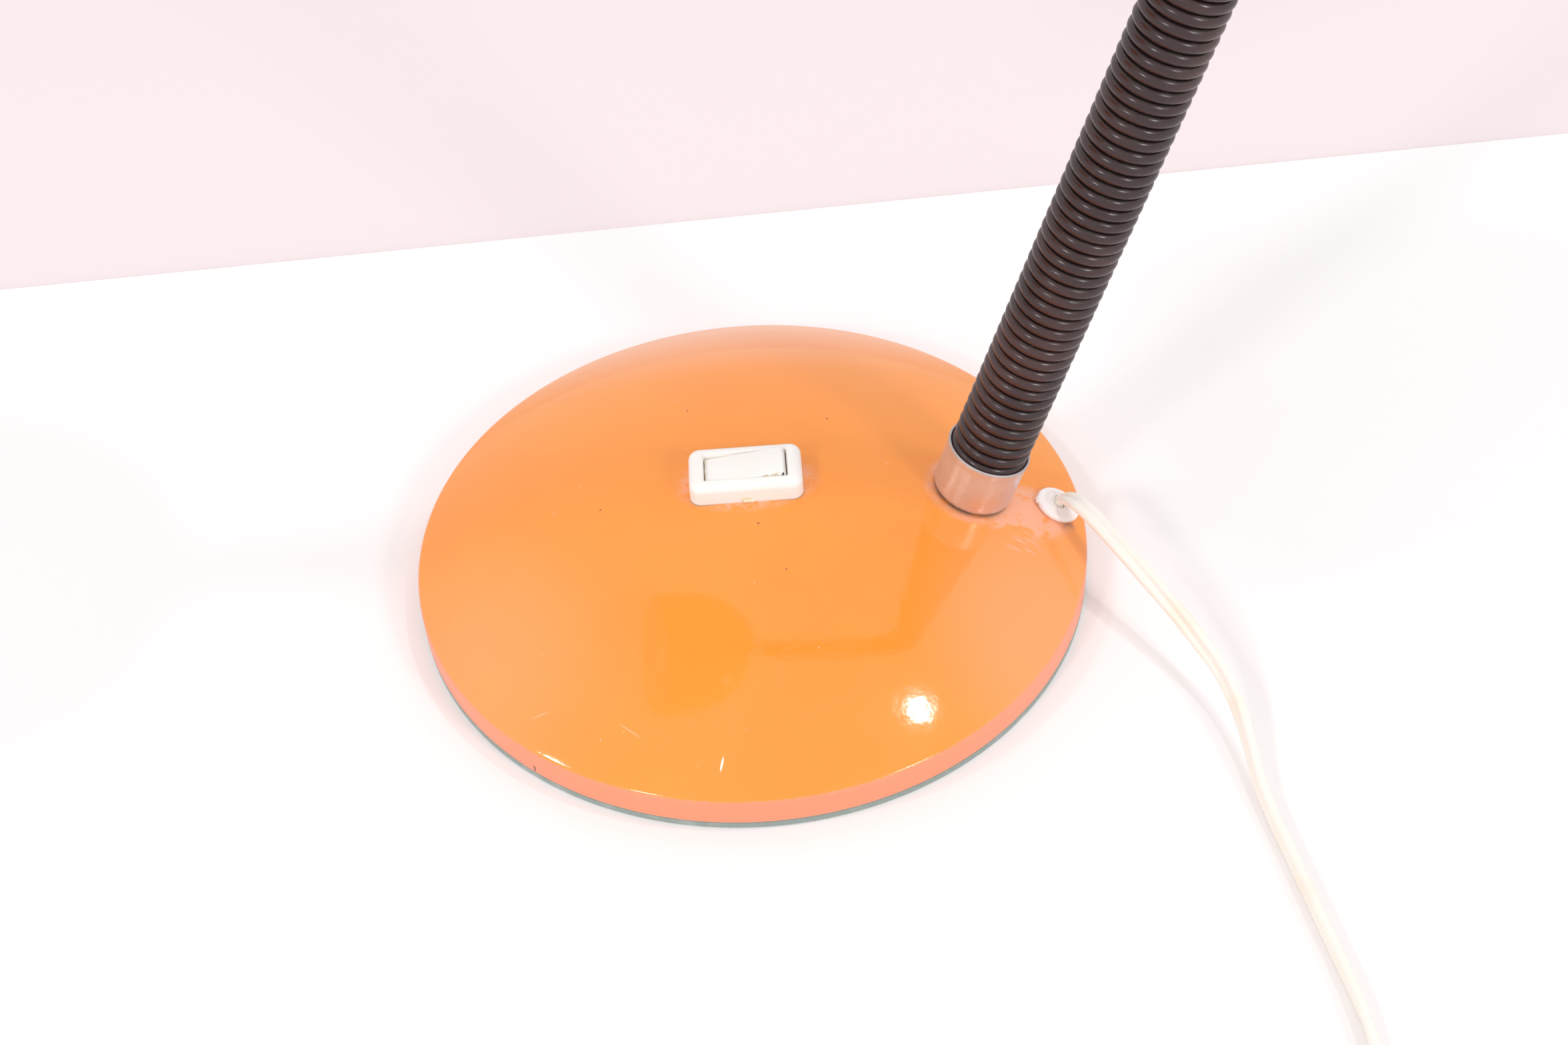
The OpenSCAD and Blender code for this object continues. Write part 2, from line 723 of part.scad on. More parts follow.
module head_core() {
    hold = stud_hold + 3;
    difference() {
        union() {
            sphere(r = ball_r);
            cylinder(r = stem_r, h = head_len - hold);
            translate([0, 0, head_len - hold - 5]) cylinder(r1 = stem_r, r2 = cup_r, h = 5);
            translate([0, 0, head_len - hold])
                cylinder(r = cup_r, h = hold - floor_t - 2 * seat_gap);
        }
        translate([0, 0, head_len - floor_t - stud_hold - 1])
            cylinder(r = stud_r + thread_gap, h = stud_hold + 3);
        translate([0, 0, -ball_r - 1]) cylinder(r = wire_bore_d / 2, h = head_len);
    }
}

// Sleeve from height a to b, its ribs between c and d
module ribbed(a, b, c, d) {
    count = floor((d - c - rib_w) / rib_pitch) + 1;
    start = (c + d - (count - 1) * rib_pitch) / 2;
    flank = (rib_pitch - rib_w) / 4;
    rotate_extrude() polygon(concat(
        [[bore_r, a], [root_r, a]],
        [for (i = [0:count - 1]) let (z = start + i * rib_pitch)
            each [[root_r, z - rib_w / 2 - flank], [sleeve_r, z - rib_w / 2 + flank],
                  [sleeve_r, z + rib_w / 2 - flank], [root_r, z + rib_w / 2 + flank]]],
        [[root_r, b], [bore_r, b]]));
}

module foot_sleeve() {
    z = floor_t + 2 * seat_gap + 0.1;
    ribbed(z, foot_len - root_clear, ferrule_corner + 0.3, foot_len - rib_clear);
}

module sleeve_link() {
    ribbed(root_clear, link_len - root_clear, rib_clear, link_len - rib_clear);
}

module head_sleeve() {
    ribbed(root_clear, head_len - floor_t - 2 * seat_gap - 0.1, rib_clear,
           head_len - ferrule_corner - 0.3);
}

module core(k) {
    color([0.55, 0.55, 0.56]) on_link(k) {
        if (k == 0) foot_core();
        else if (k == joints) head_core();
        else core_link();
    }
}

module sleeve(k) {
    color([0.2, 0.17, 0.19]) on_link(k) {
        if (k == 0) foot_sleeve();
        else if (k == joints) head_sleeve();
        else sleeve_link();
    }
}

// ---- Head ----

module head_ferrule() {
    color([0.72, 0.7, 0.69]) on_head() translate([0, 0, -seat_gap]) mirror([0, 0, 1]) ferrule();
}

module head_stud() {
    up = floor_t + stud_hold;
    color([0.8, 0.72, 0.45]) on_head() translate([0, 0, -up])
        tube(stud_r, stud_bore_r, up + cap_z + 6);
}

module head_nut() {
    color([0.75, 0.75, 0.74]) on_head() translate([0, 0, shade_t + seat_gap])
        hex_nut(nut_af, 3, stud_r + thread_gap);
}

module shade() {
    cz = shade_r - apex_t;
    vent_a = 42;
    color([1, 0.62, 0.32]) on_head() difference() {
        union() {
            cylinder(r = apex_r, h = shade_t);
            difference() {
                intersection() {
                    translate([0, 0, cz]) sphere(r = shade_r, $fn = 180);
                    cylinder(r = shade_r, h = cz);
                }
                translate([0, 0, cz]) sphere(r = shade_r - shade_t, $fn = 180);
            }
            translate([0, 0, cz]) tube(shade_r, shade_r - shade_t, skirt_h - bead_d / 2, $fn = 180);
            translate([0, 0, shade_len - bead_d / 2]) rotate_extrude($fn = 180)
                translate([shade_r - bead_d / 2, 0]) circle(r = bead_d / 2, $fn = 32);
        }
        translate([0, 0, -1]) cylinder(r = stud_r + slip_gap, h = 4);
        for (i = [0:vents - 1]) rotate([0, 0, (i + 0.5) * 360 / vents])
            translate([0, 0, cz]) rotate([0, 180 - vent_a, 0])
                translate([0, 0, shade_r - 4]) cylinder(r = vent_d / 2, h = 8);
    }
}

module lampholder_cap() {
    wall = 1.8;
    hub = stud_r + 2.4;
    color([0.15, 0.14, 0.14]) on_head() translate([0, 0, cap_z]) difference() {
        union() {
            cylinder(r1 = hub, r2 = holder_r, h = 8);
            translate([0, 0, 8]) cylinder(r = holder_r, h = cap_len - 8);
        }
        translate([0, 0, 6 + wall]) cylinder(r = holder_r - wall, h = cap_len);
        translate([0, 0, -1]) cylinder(r = stud_r + thread_gap, h = 10);
    }
}

module lampholder_body() {
    wall = 2;
    color([0.15, 0.14, 0.14]) on_head() translate([0, 0, holder_z + seat_gap]) difference() {
        cylinder(r = holder_r, h = holder_len);
        translate([0, 0, wall + 4]) cylinder(r = bulb_cap_r + 3, h = holder_len);
        translate([0, 0, -1]) cylinder(r = bulb_cap_r + 1, h = 8);
    }
}

module lampholder_core() {
    color([0.93, 0.92, 0.88]) on_head() translate([0, 0, holder_z - 5]) difference() {
        union() {
            cylinder(r = holder_r - 2.2, h = 5 - seat_gap);
            cylinder(r = bulb_cap_r + 0.7, h = 9);
        }
        for (x = [-1, 1]) translate([x * 4.2, 0, -1]) cylinder(r = 1, h = 12);
    }
}

module lampholder_contacts() {
    color([0.85, 0.7, 0.4]) on_head() {
        translate([0, 0, holder_z + 4 + seat_gap]) {
            cylinder(r = 2.2, h = 0.6);
            translate([1.5, -1.5, 0]) cube([3.6, 3, 0.4]);
        }
        translate([4.2, 0, holder_z - 7]) cylinder(r = 0.9, h = 11 + seat_gap);
        translate([-4.2, 0, holder_z - 7]) cylinder(r = 0.9, h = 11 + 2 * seat_gap);
        translate([0, 0, holder_z + 6.2]) tube(bulb_cap_r + 2.9, bulb_cap_r + 0.3, 18);
    }
}

module bulb_cap() {
    color([0.8, 0.78, 0.72]) on_head() translate([0, 0, bulb_foot]) {
        difference() {
            translate([0, 0, 2]) cylinder(r = bulb_cap_r, h = bulb_cap_len);
            translate([0, 0, 4]) cylinder(r = bulb_cap_r - 0.5, h = bulb_cap_len);
        }
        cylinder(r1 = 2.4, r2 = 4.5, h = 2);
    }
}

module bulb_outline(d) {
    start = bulb_foot + 6;
    neck = bulb_cap_r - 0.5 - seat_gap - d;
    translate([0, start]) square([neck, bulb_z - start - bulb_r * 0.8]);
    translate([0, bulb_z - bulb_r + 1]) polygon([[0, -5], [neck, -5], [neck + 7, 5], [0, 5]]);
    intersection() {
        translate([0, bulb_z]) circle(r = bulb_r - d);
        translate([0, bulb_z - bulb_r]) square([bulb_r, 2 * bulb_r]);
    }
}

module bulb_glass() {
    color([0.95, 0.95, 0.93]) on_head() rotate_extrude() difference() {
        bulb_outline(0);
        bulb_outline(glass_t);
    }
}

module bulb_filament() {
    foot = bulb_foot + 6;
    color([0.75, 0.75, 0.78]) on_head() {
        translate([0, 0, foot]) cylinder(r = bulb_cap_r - 0.5 - 2 * seat_gap - glass_t, h = 1.5);
        translate([0, 0, foot + 1]) cylinder(r = 2, h = bulb_z - foot - 12);
        for (x = [-1, 1]) hull() {
            translate([x * 1.2, 0, bulb_z - 12]) sphere(r = 0.35, $fn = 12);
            translate([x * 7, 0, bulb_z - 1]) sphere(r = 0.35, $fn = 12);
        }
        translate([0, 0, bulb_z - 1]) rotate([0, 90, 0]) cylinder(r = 0.45, h = 14, center = true);
    }
}

// ---- The parts ----

base_shell();
base_plate();
felt_pad();
ballast_disc();
ballast_bosses();
ballast_screws();
foot_ferrule();
foot_stud();
foot_washer();
foot_nut();
switch_frame();
switch_rocker();
switch_plunger();
switch_spring();
switch_contacts();
cord_bush();
cord_clamp();
clamp_screws();
base_wires();
power_cord();
cord_coil();
plug_lead();
plug_body();
plug_pins();
for (k = [0:joints]) {
    id = str(k < 10 ? "0" : "", k);
    core(k);
    sleeve(k);
}
head_ferrule();
head_stud();
head_nut();
shade();
lampholder_cap();
lampholder_body();
lampholder_core();
lampholder_contacts();
head_wires();
bulb_cap();
bulb_glass();
bulb_filament();
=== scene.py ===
import math

import bmesh
import bpy
from mathutils import Matrix, Vector


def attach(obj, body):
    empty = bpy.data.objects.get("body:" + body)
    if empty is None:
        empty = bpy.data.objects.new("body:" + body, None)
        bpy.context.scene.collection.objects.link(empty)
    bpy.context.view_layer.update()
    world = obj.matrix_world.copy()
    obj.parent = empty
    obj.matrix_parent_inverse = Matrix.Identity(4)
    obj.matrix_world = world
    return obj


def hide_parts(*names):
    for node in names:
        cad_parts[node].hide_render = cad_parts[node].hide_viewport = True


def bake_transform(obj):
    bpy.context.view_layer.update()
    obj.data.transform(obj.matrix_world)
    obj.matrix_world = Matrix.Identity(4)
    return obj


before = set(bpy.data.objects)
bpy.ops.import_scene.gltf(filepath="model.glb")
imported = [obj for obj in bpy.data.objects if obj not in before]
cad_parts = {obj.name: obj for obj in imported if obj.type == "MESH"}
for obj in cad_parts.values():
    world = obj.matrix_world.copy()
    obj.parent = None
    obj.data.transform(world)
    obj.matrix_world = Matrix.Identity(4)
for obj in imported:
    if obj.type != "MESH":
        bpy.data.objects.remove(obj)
bpy.ops.object.select_all(action="DESELECT")
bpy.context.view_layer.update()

MM = 0.001

# ---- Sizes of the lamp, in millimetres, as its solids have them ----

BASE_R, FELT_T, RIM_H, DOME_H, CREASE_R = 100.0, 2.5, 8.7, 24.5, 1.8
SHELL_T, STUD_HOLE_R = 1.0, 5.1
DOME_TOP = FELT_T + RIM_H + DOME_H
DOME_R = (BASE_R ** 2 + DOME_H ** 2) / (2 * DOME_H)
DOME_CZ = DOME_TOP - DOME_R
NECK_R, FOOT, LINK, HEAD, BEND, JOINTS = 66.0, 60.0, 37.4, 40.0, 22.5, 11
STRAIGHT_JOINTS = 5
LEAN = math.degrees(math.asin(NECK_R / DOME_R))
BUSH_POS = 91.5
BUSH_LEAN = math.degrees(math.asin(BUSH_POS / DOME_R))
SLEEVE_R, RIB = 11.5, 3.74
FERRULE_R, FERRULE_H = 12.4, 17.5
SHADE_R, SKIRT, SHADE_T = 75.0, 37.0, 0.9
APEX_R = FERRULE_R + 3
APEX_T = SHADE_R - math.sqrt(SHADE_R ** 2 - APEX_R ** 2)
SHADE_L = SHADE_R + SKIRT - APEX_T
HOLDER_R, BORE_R = 14.0, 5.3
FRAME_L, FRAME_W, FRAME_H, WINDOW_L, WINDOW_W = 33.0, 18.0, 6.35, 24.6, 11.4
ROCKER_R, ROCKER_W, PIVOT_Z, ROCKER_REST = 12.0, 10.8, 38.65, -8
COIL = (116.0, -234.0)


def dome_z(r):
    return DOME_CZ + math.sqrt(DOME_R ** 2 - r * r)


def lean(k):
    return LEAN - BEND * max(0, k - STRAIGHT_JOINTS)


def along(k):
    a = math.radians(lean(k))
    return Vector((math.sin(a), 0, math.cos(a)))


def joint_places():
    places = [Vector((NECK_R, 0, dome_z(NECK_R)))]
    for k in range(1, JOINTS + 2):
        step = FOOT if k == 1 else HEAD if k > JOINTS else LINK
        places.append(places[-1] + along(k - 1) * step)
    return places


JOINT = joint_places()


def place(point, turn=0.0):
    """Where a piece stands: its own origin at point, its axis leaning by turn degrees."""
    return Matrix.Translation(Vector(point) * MM) @ Matrix.Rotation(math.radians(turn), 4, "Y")


FOOT_PLACE = place(JOINT[0], LEAN)
HEAD_PLACE = place(JOINT[-1], lean(JOINTS))
BUSH_PLACE = place((BUSH_POS, 0, dome_z(BUSH_POS)), BUSH_LEAN)
ROCKER_PLACE = place((0, 0, PIVOT_Z), ROCKER_REST)


def linked(name, data):
    """A new object in the scene."""
    thing = bpy.data.objects.new(name, data)
    bpy.context.scene.collection.objects.link(thing)
    return thing


# ---- Camera ----

LENS, SENSOR_W = 52.04, 36.0
CAMERA_PITCH, CAMERA_ROLL = 44.704, -4.065
CAMERA_AT = (0.010168, -0.479975, 0.49221)


def set_camera():
    data = bpy.data.cameras.new("camera")
    data.lens, data.sensor_width, data.sensor_fit = LENS, SENSOR_W, "HORIZONTAL"
    data.clip_start, data.clip_end = 0.01, 50
    camera = linked("camera", data)
    pitch, roll = math.radians(CAMERA_PITCH), math.radians(CAMERA_ROLL)
    forward = Vector((0, math.cos(pitch), -math.sin(pitch)))
    side = Vector((1, 0, 0))
    up = side.cross(forward)
    right = math.cos(roll) * side + math.sin(roll) * up
    top = -math.sin(roll) * side + math.cos(roll) * up
    turn = Matrix((right, top, -forward)).transposed().to_4x4()
    camera.matrix_world = Matrix.Translation(CAMERA_AT) @ turn
    bpy.context.scene.camera = camera


set_camera()


# ---- Finishes ----

FADE = (1.0, 0.0)  # one at the low end of a range, nothing at its high end


def join(tree, source, socket):
    """Feeds a socket with a number, a tuple or another node's output."""
    if isinstance(source, bpy.types.NodeSocket):
        tree.links.new(source, socket)
    else:
        socket.default_value = source


def add_node(tree, kind, inputs, **settings):
    node = tree.nodes.new("ShaderNode" + kind)
    for name, value in settings.items():
        setattr(node, name, value)
    for name, source in inputs.items():
        join(tree, source, node.inputs[name])
    return node


class Finish:
    """A node material with the few steps that the lamp's finishes are mixed from."""

    def __init__(self, name, colour, roughness, metallic=0.0, **sockets):
        self.mat = bpy.data.materials.new(name)
        self.mat.use_nodes = True
        self.tree = self.mat.node_tree
        self.skin = self.tree.nodes["Principled BSDF"]
        self.colour = (*colour, 1)
        self.rough = roughness
        sockets.update(Base_Color=self.colour, Roughness=roughness, Metallic=metallic)
        for socket, value in sockets.items():
            self.skin.inputs[socket.replace("_", " ")].default_value = value
        self.spot = self.node("TexCoord", {}).outputs["Object"]

    def node(self, kind, inputs, **settings):
        return add_node(self.tree, kind, inputs, **settings)

    def moved(self, centre=(0, 0, 0), turn=(0, 0, 0), size=(1, 1, 1)):
        """The piece's points measured from centre, turned, and divided by size."""
        inputs = {"Location": centre, "Rotation": [math.radians(a) for a in turn],
                  "Scale": size, "Vector": self.spot}
        return self.node("Mapping", inputs, vector_type="TEXTURE").outputs["Vector"]

    def own(self, where, size=(1, 1, 1)):
        """The piece's points in the frame of a place on the lamp."""
        turn = [math.degrees(a) for a in where.to_euler()]
        return self.moved(where.to_translation(), turn, size)

    def noise(self, grain, detail=3.0, rough=0.5, points=None, warp=0.0):
        """Cloudy noise; grain is the size of its patches in metres."""
        inputs = {"Scale": 1 / grain, "Detail": detail, "Roughness": rough,
                  "Distortion": warp, "Vector": points or self.spot}
        return self.node("TexNoise", inputs).outputs["Fac"]

    def between(self, value, low, high, out=(0.0, 1.0)):
        """value mapped from low..high to out, eased and held at both ends."""
        inputs = {"From Min": low, "From Max": high, "To Min": out[0], "To Max": out[1],
                  "Value": value}
        return self.node("MapRange", inputs, interpolation_type="SMOOTHSTEP").outputs["Result"]

    def blotches(self, low, high, grain, detail=3.0, rough=0.5, out=(0.0, 1.0)):
        """Noise mapped from low..high to out."""
        return self.between(self.noise(grain, detail, rough), low, high, out)

    def dots(self, grain, solid, end):
        """Scattered dots, grain metres apart; solid and end are shares of that."""
        inputs = {"Scale": 1 / grain, "Vector": self.spot}
        return self.between(self.node("TexVoronoi", inputs).outputs["Distance"], solid, end, FADE)

    def worked(self, how, a, b=0.0):
        return self.node("Math", {0: a, 1: b}, operation=how).outputs["Value"]

    def times(self, first, *others):
        for value in others:
            first = self.worked("MULTIPLY", first, value)
        return first

    def most(self, first, *others):
        """The largest of the values."""
        for value in others:
            first = self.worked("MAXIMUM", first, value)
        return first

    def away(self, value, middle=0.0):
        """How far the value is from the middle, on either side."""
        return self.worked("ABSOLUTE", self.worked("SUBTRACT", value, middle))

    def length(self, points):
        return self.node("VectorMath", {0: points}, operation="LENGTH").outputs["Value"]

    def axis(self, name, points=None):
        return self.node("SeparateXYZ", {"Vector": points or self.spot}).outputs[name]

    def patch(self, centre, size, turn=(0, 0, 0), edge=0.5):
        """One inside an oval patch, fading to nothing at its edge."""
        far = self.length(self.moved(centre, turn, size))
        return self.between(far, 1 - edge, 1, FADE)

    def ring(self, where, radius, width):
        """One on a ring of that radius round a place's axis, fading over width."""
        flat = self.node("VectorMath", {0: self.own(where), 1: (1, 1, 0)}, operation="MULTIPLY")
        off = self.away(self.length(flat.outputs["Vector"]), radius)
        return self.between(off, 0, width, FADE)

    def attribute(self, name):
        return self.node("Attribute", {}, attribute_name=name).outputs["Fac"]

    def tint(self, colour, where, share=None):
        """Lays colour over the base colour where it is said to be, or a share of it."""
        amount = self.times(where, share) if share else where
        inputs = {"Factor": amount, "A": self.colour, "B": (*colour, 1)}
        self.colour = self.node("Mix", inputs, data_type="RGBA").outputs["Result"]
        join(self.tree, self.colour, self.skin.inputs["Base Color"])

    def dull(self, roughness, where, share=None):
        """Takes the roughness to another value where it is said to, or a share of the way."""
        amount = self.times(where, share) if share else where
        inputs = {"Factor": amount, "A": self.rough, "B": roughness}
        self.rough = self.node("Mix", inputs).outputs["Result"]
        join(self.tree, self.rough, self.skin.inputs["Roughness"])

    def bump(self, height, depth, strength=1.0):
        """Raises the surface by up to depth metres, on top of the bumps it already has."""
        inputs = {"Distance": depth, "Strength": strength, "Height": height}
        normal = self.skin.inputs["Normal"]
        if normal.is_linked:
            inputs["Normal"] = normal.links[0].from_socket
        join(self.tree, self.node("Bump", inputs).outputs["Normal"], normal)


def orange_paint(name):
    """Stoved orange enamel: glossy, faintly rippled, dusty and rubbed."""
    paint = Finish(name, (0.98, 0.33, 0.047), 0.07)
    clouds = paint.noise(0.05, 3, 0.55)
    paint.tint((0.97, 0.3, 0.037), paint.between(clouds, 0.35, 0.7, (0.0, 0.7)))
    paint.dull(0.2, paint.blotches(0.45, 0.75, 0.03, 4, 0.6, out=(0.0, 0.5)))
    specks = paint.dots(0.0042, 0.025, 0.06)
    some = paint.blotches(0.54, 0.6, 0.011, 1)
    paint.tint((0.96, 0.8, 0.68), paint.times(specks, some, 0.75))
    lines = paint.noise(0.012, 2, 0.5, paint.moved(turn=(0, 0, 24), size=(18, 0.25, 1)), 0.4)
    rubbed = paint.blotches(0.5, 0.62, 0.02, 2)
    scuffs = paint.times(paint.between(lines, 0.66, 0.69), rubbed)
    paint.tint((0.98, 0.5, 0.25), scuffs, 0.05)
    paint.dull(0.3, scuffs, 0.25)
    paint.bump(paint.noise(0.0022, 2, 0.5), 0.00004, 0.6)
    return paint


def base_paint():
    """The base's enamel with its own dust, rubs and chips, a painted haze round the mirrored lamps
    and a painted sheen towards the back.
    """
    paint = orange_paint("orange_enamel_base")
    wander = paint.noise(0.006, 4, 0.6)
    # Painted reflection: a pale haze on the dome round where the right and left lamps are
    # mirrored.
    right = paint.patch((0.083, -0.05, 0.02), (0.045, 0.06, 0.06), edge=0.8)
    left = paint.patch((-0.085, -0.05, 0.02), (0.06, 0.06, 0.06), edge=0.85)
    painted_haze = paint.most(right, paint.times(left, 0.7))
    paint.tint((0.97, 0.5, 0.33), painted_haze, 0.3)
    # Painted reflection: the enamel turns paler towards the back, where it mirrors the white
    # surroundings at a glancing angle.
    far = paint.between(paint.axis("Y"), 0.055, 0.098)
    paint.tint((0.98, 0.66, 0.56), far, 0.4)
    foot = paint.ring(FOOT_PLACE, 0.0121, 0.0034)
    foot = paint.times(foot, paint.between(wander, 0.32, 0.62))
    by_bush = paint.patch((0.0815, -0.0055, 0.019), (0.017, 0.0125, 0.03), (0, 0, 24), 0.35)
    by_bush = paint.times(by_bush, paint.between(wander, 0.33, 0.5))
    finger = paint.patch((0.0765, -0.0155, 0.021), (0.0085, 0.0035, 0.02), (0, 0, 22), 0.3)
    by_bush = paint.times(by_bush, paint.between(finger, 0, 1, FADE))
    smear = paint.patch((0.0808, -0.0178, 0.02), (0.012, 0.0055, 0.03), (0, 0, 40), 0.8)
    streaks = paint.noise(0.004, 3, 0.6, paint.moved(turn=(0, 0, 62), size=(0.35, 2.5, 1)))
    smear = paint.times(smear, paint.between(streaks, 0.48, 0.66))
    switch = paint.patch((0, 0, DOME_TOP * MM), (0.0232, 0.0142, 0.02), edge=0.34)
    switch = paint.times(switch, paint.blotches(0.36, 0.6, 0.0032, 5, 0.7))
    dust = paint.most(foot, by_bush, smear, switch)
    paint.tint((0.95, 0.48, 0.34), dust, 0.72)
    paint.dull(0.55, dust, 0.9)
    grit = paint.dots(0.0011, 0.1, 0.2)
    grit = paint.times(grit, paint.blotches(0.52, 0.6, 0.003, 2), switch)
    paint.tint((0.97, 0.9, 0.86), grit, 0.8)
    # A darker ring where the cup sits on the dome, and a dark spot on the dome under the cord by
    # the bush.
    darkening = paint.times(paint.ring(FOOT_PLACE, 0.0104, 0.0017), paint.between(wander, 0.25, 0.55))
    corner = paint.patch((0.0945, -0.0068, 0.0135), (0.0034, 0.0022, 0.005), (0, 0, 40), 0.8)
    darkening = paint.most(darkening, paint.times(corner, paint.between(wander, 0.4, 0.6)))
    paint.tint((0.2, 0.15, 0.13), darkening, 0.75)
    paint.dull(0.6, darkening)
    height = paint.axis("Z")
    edge = paint.times(paint.between(height, 0.009, 0.0104),
                       paint.between(height, 0.011, 0.0114, FADE))
    edge = paint.times(edge, paint.blotches(0.5, 0.62, 0.0016, 4, 0.7))
    paint.tint((0.97, 0.45, 0.3), edge, 0.55)
    paint.dull(0.5, edge)
    rim = paint.between(height, 0.0108, 0.0115, FADE)
    paint.tint((0.98, 0.33, 0.21), rim, 0.8)
    paint.dull(0.42, rim, 0.8)
    chip = paint.patch((-0.0112, -0.0897, 0.0159), (0.00042, 0.0026, 0.002), (0, 0, -16), 0.4)
    hair = paint.patch((-0.0359, -0.0775, 0.0181), (0.0002, 0.0048, 0.004), (0, 0, 50), 0.5)
    nick = paint.patch((-0.061, -0.0675, 0.0156), (0.0002, 0.0036, 0.003), (0, 0, -84), 0.5)
    scratches = paint.times(paint.most(hair, nick), 0.3)
    paint.tint((0.94, 0.85, 0.72), paint.most(chip, scratches))
    dark = paint.most(*[paint.patch(at, (r, r, r * 3), edge=0.6) for at, r in (
        ((-0.0168, 0.0364, 0.0319), 0.0005), ((-0.0431, -0.0037, 0.0313), 0.00045),
        ((0.0028, -0.0175, 0.035), 0.0005), ((0.0099, -0.0344, 0.0327), 0.0004),
        ((0.0254, 0.0278, 0.0324), 0.0005), ((-0.0637, -0.0771, 0.0045), 0.0006))])
    paint.tint((0.22, 0.07, 0.04), dark, 0.85)
    return paint.mat


def aluminium(name, where):
    """Spun aluminium gone dull: fine upright scratches, a brown bloom and pits."""
    metal = Finish(name, (0.74, 0.7, 0.72), 0.27, 0.78)
    scratch = metal.noise(0.0016, 5, 0.75, metal.own(where, (1, 1, 14)))
    metal.dull(0.34, metal.between(scratch, 0.4, 0.65))
    metal.bump(scratch, 0.00002, 0.15)
    lathe = metal.noise(0.0009, 2, 0.5, metal.own(where, (9, 9, 0.12)))
    metal.bump(lathe, 0.00002, 0.15)
    bloom = metal.blotches(0.42, 0.62, 0.009, 4, 0.6)
    metal.tint((0.66, 0.54, 0.5), bloom, 0.5)
    metal.dull(0.45, bloom, 0.6)
    if where is FOOT_PLACE:
        # Painted reflection: an orange cast on the front of the foot cup, where it mirrors the
        # dome.
        warm = metal.patch((0.068, -0.0124, 0.0295), (0.0075, 0.008, 0.0075), (0, 18, 0), 0.9)
        metal.tint((0.84, 0.5, 0.34), warm, 0.4)
    metal.tint((0.4, 0.31, 0.28), metal.between(scratch, 0.62, 0.72), 0.4)
    pits = metal.dots(0.0035, 0.04, 0.09)
    pits = metal.times(pits, metal.blotches(0.58, 0.62, 0.006, 1))
    metal.tint((0.16, 0.13, 0.12), pits, 0.8)
    if where is FOOT_PLACE:
        height = metal.axis("Z", metal.own(where))
        # The cup turns darker towards its bottom, where it sits on the dome.
        darkening = metal.times(metal.between(height, 0.0002, 0.0026, FADE),
                            metal.blotches(0.3, 0.6, 0.002, 4))
        metal.tint((0.25, 0.2, 0.17), darkening, 0.8)
        metal.dull(0.7, darkening)
        lip = metal.between(height, 0.0166, 0.0173)
        metal.tint((0.42, 0.38, 0.37), lip, 0.7)
        metal.dull(0.5, lip)
    return metal.mat


def sleeve_vinyl():
    """Brown-black vinyl of the ribbed sleeve, shiny on the ribs, dusty between them and with
    painted shade at the bottom of the grooves.
    """
    vinyl = Finish("sleeve_vinyl", (0.036, 0.016, 0.018), 0.22)
    groove = vinyl.attribute("groove")
    streak = vinyl.noise(0.004, 4, 0.6)
    vinyl.tint((0.062, 0.027, 0.027), vinyl.blotches(0.4, 0.65, 0.03, 2))
    vinyl.dull(0.3, vinyl.between(streak, 0.45, 0.7))
    dust = vinyl.times(vinyl.between(groove, 0.2, 0.6),
                       vinyl.between(streak, 0.42, 0.66, (0.1, 1.0)))
    dust = vinyl.times(dust, vinyl.between(groove, 0.7, 0.9, (1.0, 0.1)))
    vinyl.tint((0.075, 0.065, 0.05), dust, 0.4)
    vinyl.dull(0.75, dust, 0.45)
    # Painted shade: the bottoms of the grooves near black.
    vinyl.tint((0.006, 0.005, 0.004), vinyl.between(groove, 0.6, 0.85))
    specks = vinyl.dots(0.0013, 0.05, 0.1)
    specks = vinyl.times(specks, vinyl.blotches(0.5, 0.6, 0.004, 2))
    vinyl.tint((0.42, 0.36, 0.32), specks, 0.6)
    vinyl.bump(vinyl.noise(0.0008, 3, 0.6), 0.00004, 0.4)
    return vinyl.mat


def white_plastic(name):
    """Moulded plastic, a little yellowed."""
    plastic = Finish(name, (0.96, 0.945, 0.925), 0.28, Subsurface_Weight=0.12,
                     Subsurface_Scale=0.002)
    yellowed = plastic.blotches(0.45, 0.75, 0.012, 3, out=(0.0, 0.5))
    plastic.tint((0.94, 0.9, 0.82), yellowed)
    plastic.dull(0.42, plastic.blotches(0.4, 0.7, 0.005, 4, 0.6))
    plastic.bump(plastic.noise(0.0006, 2), 0.00002, 0.4)
    return plastic


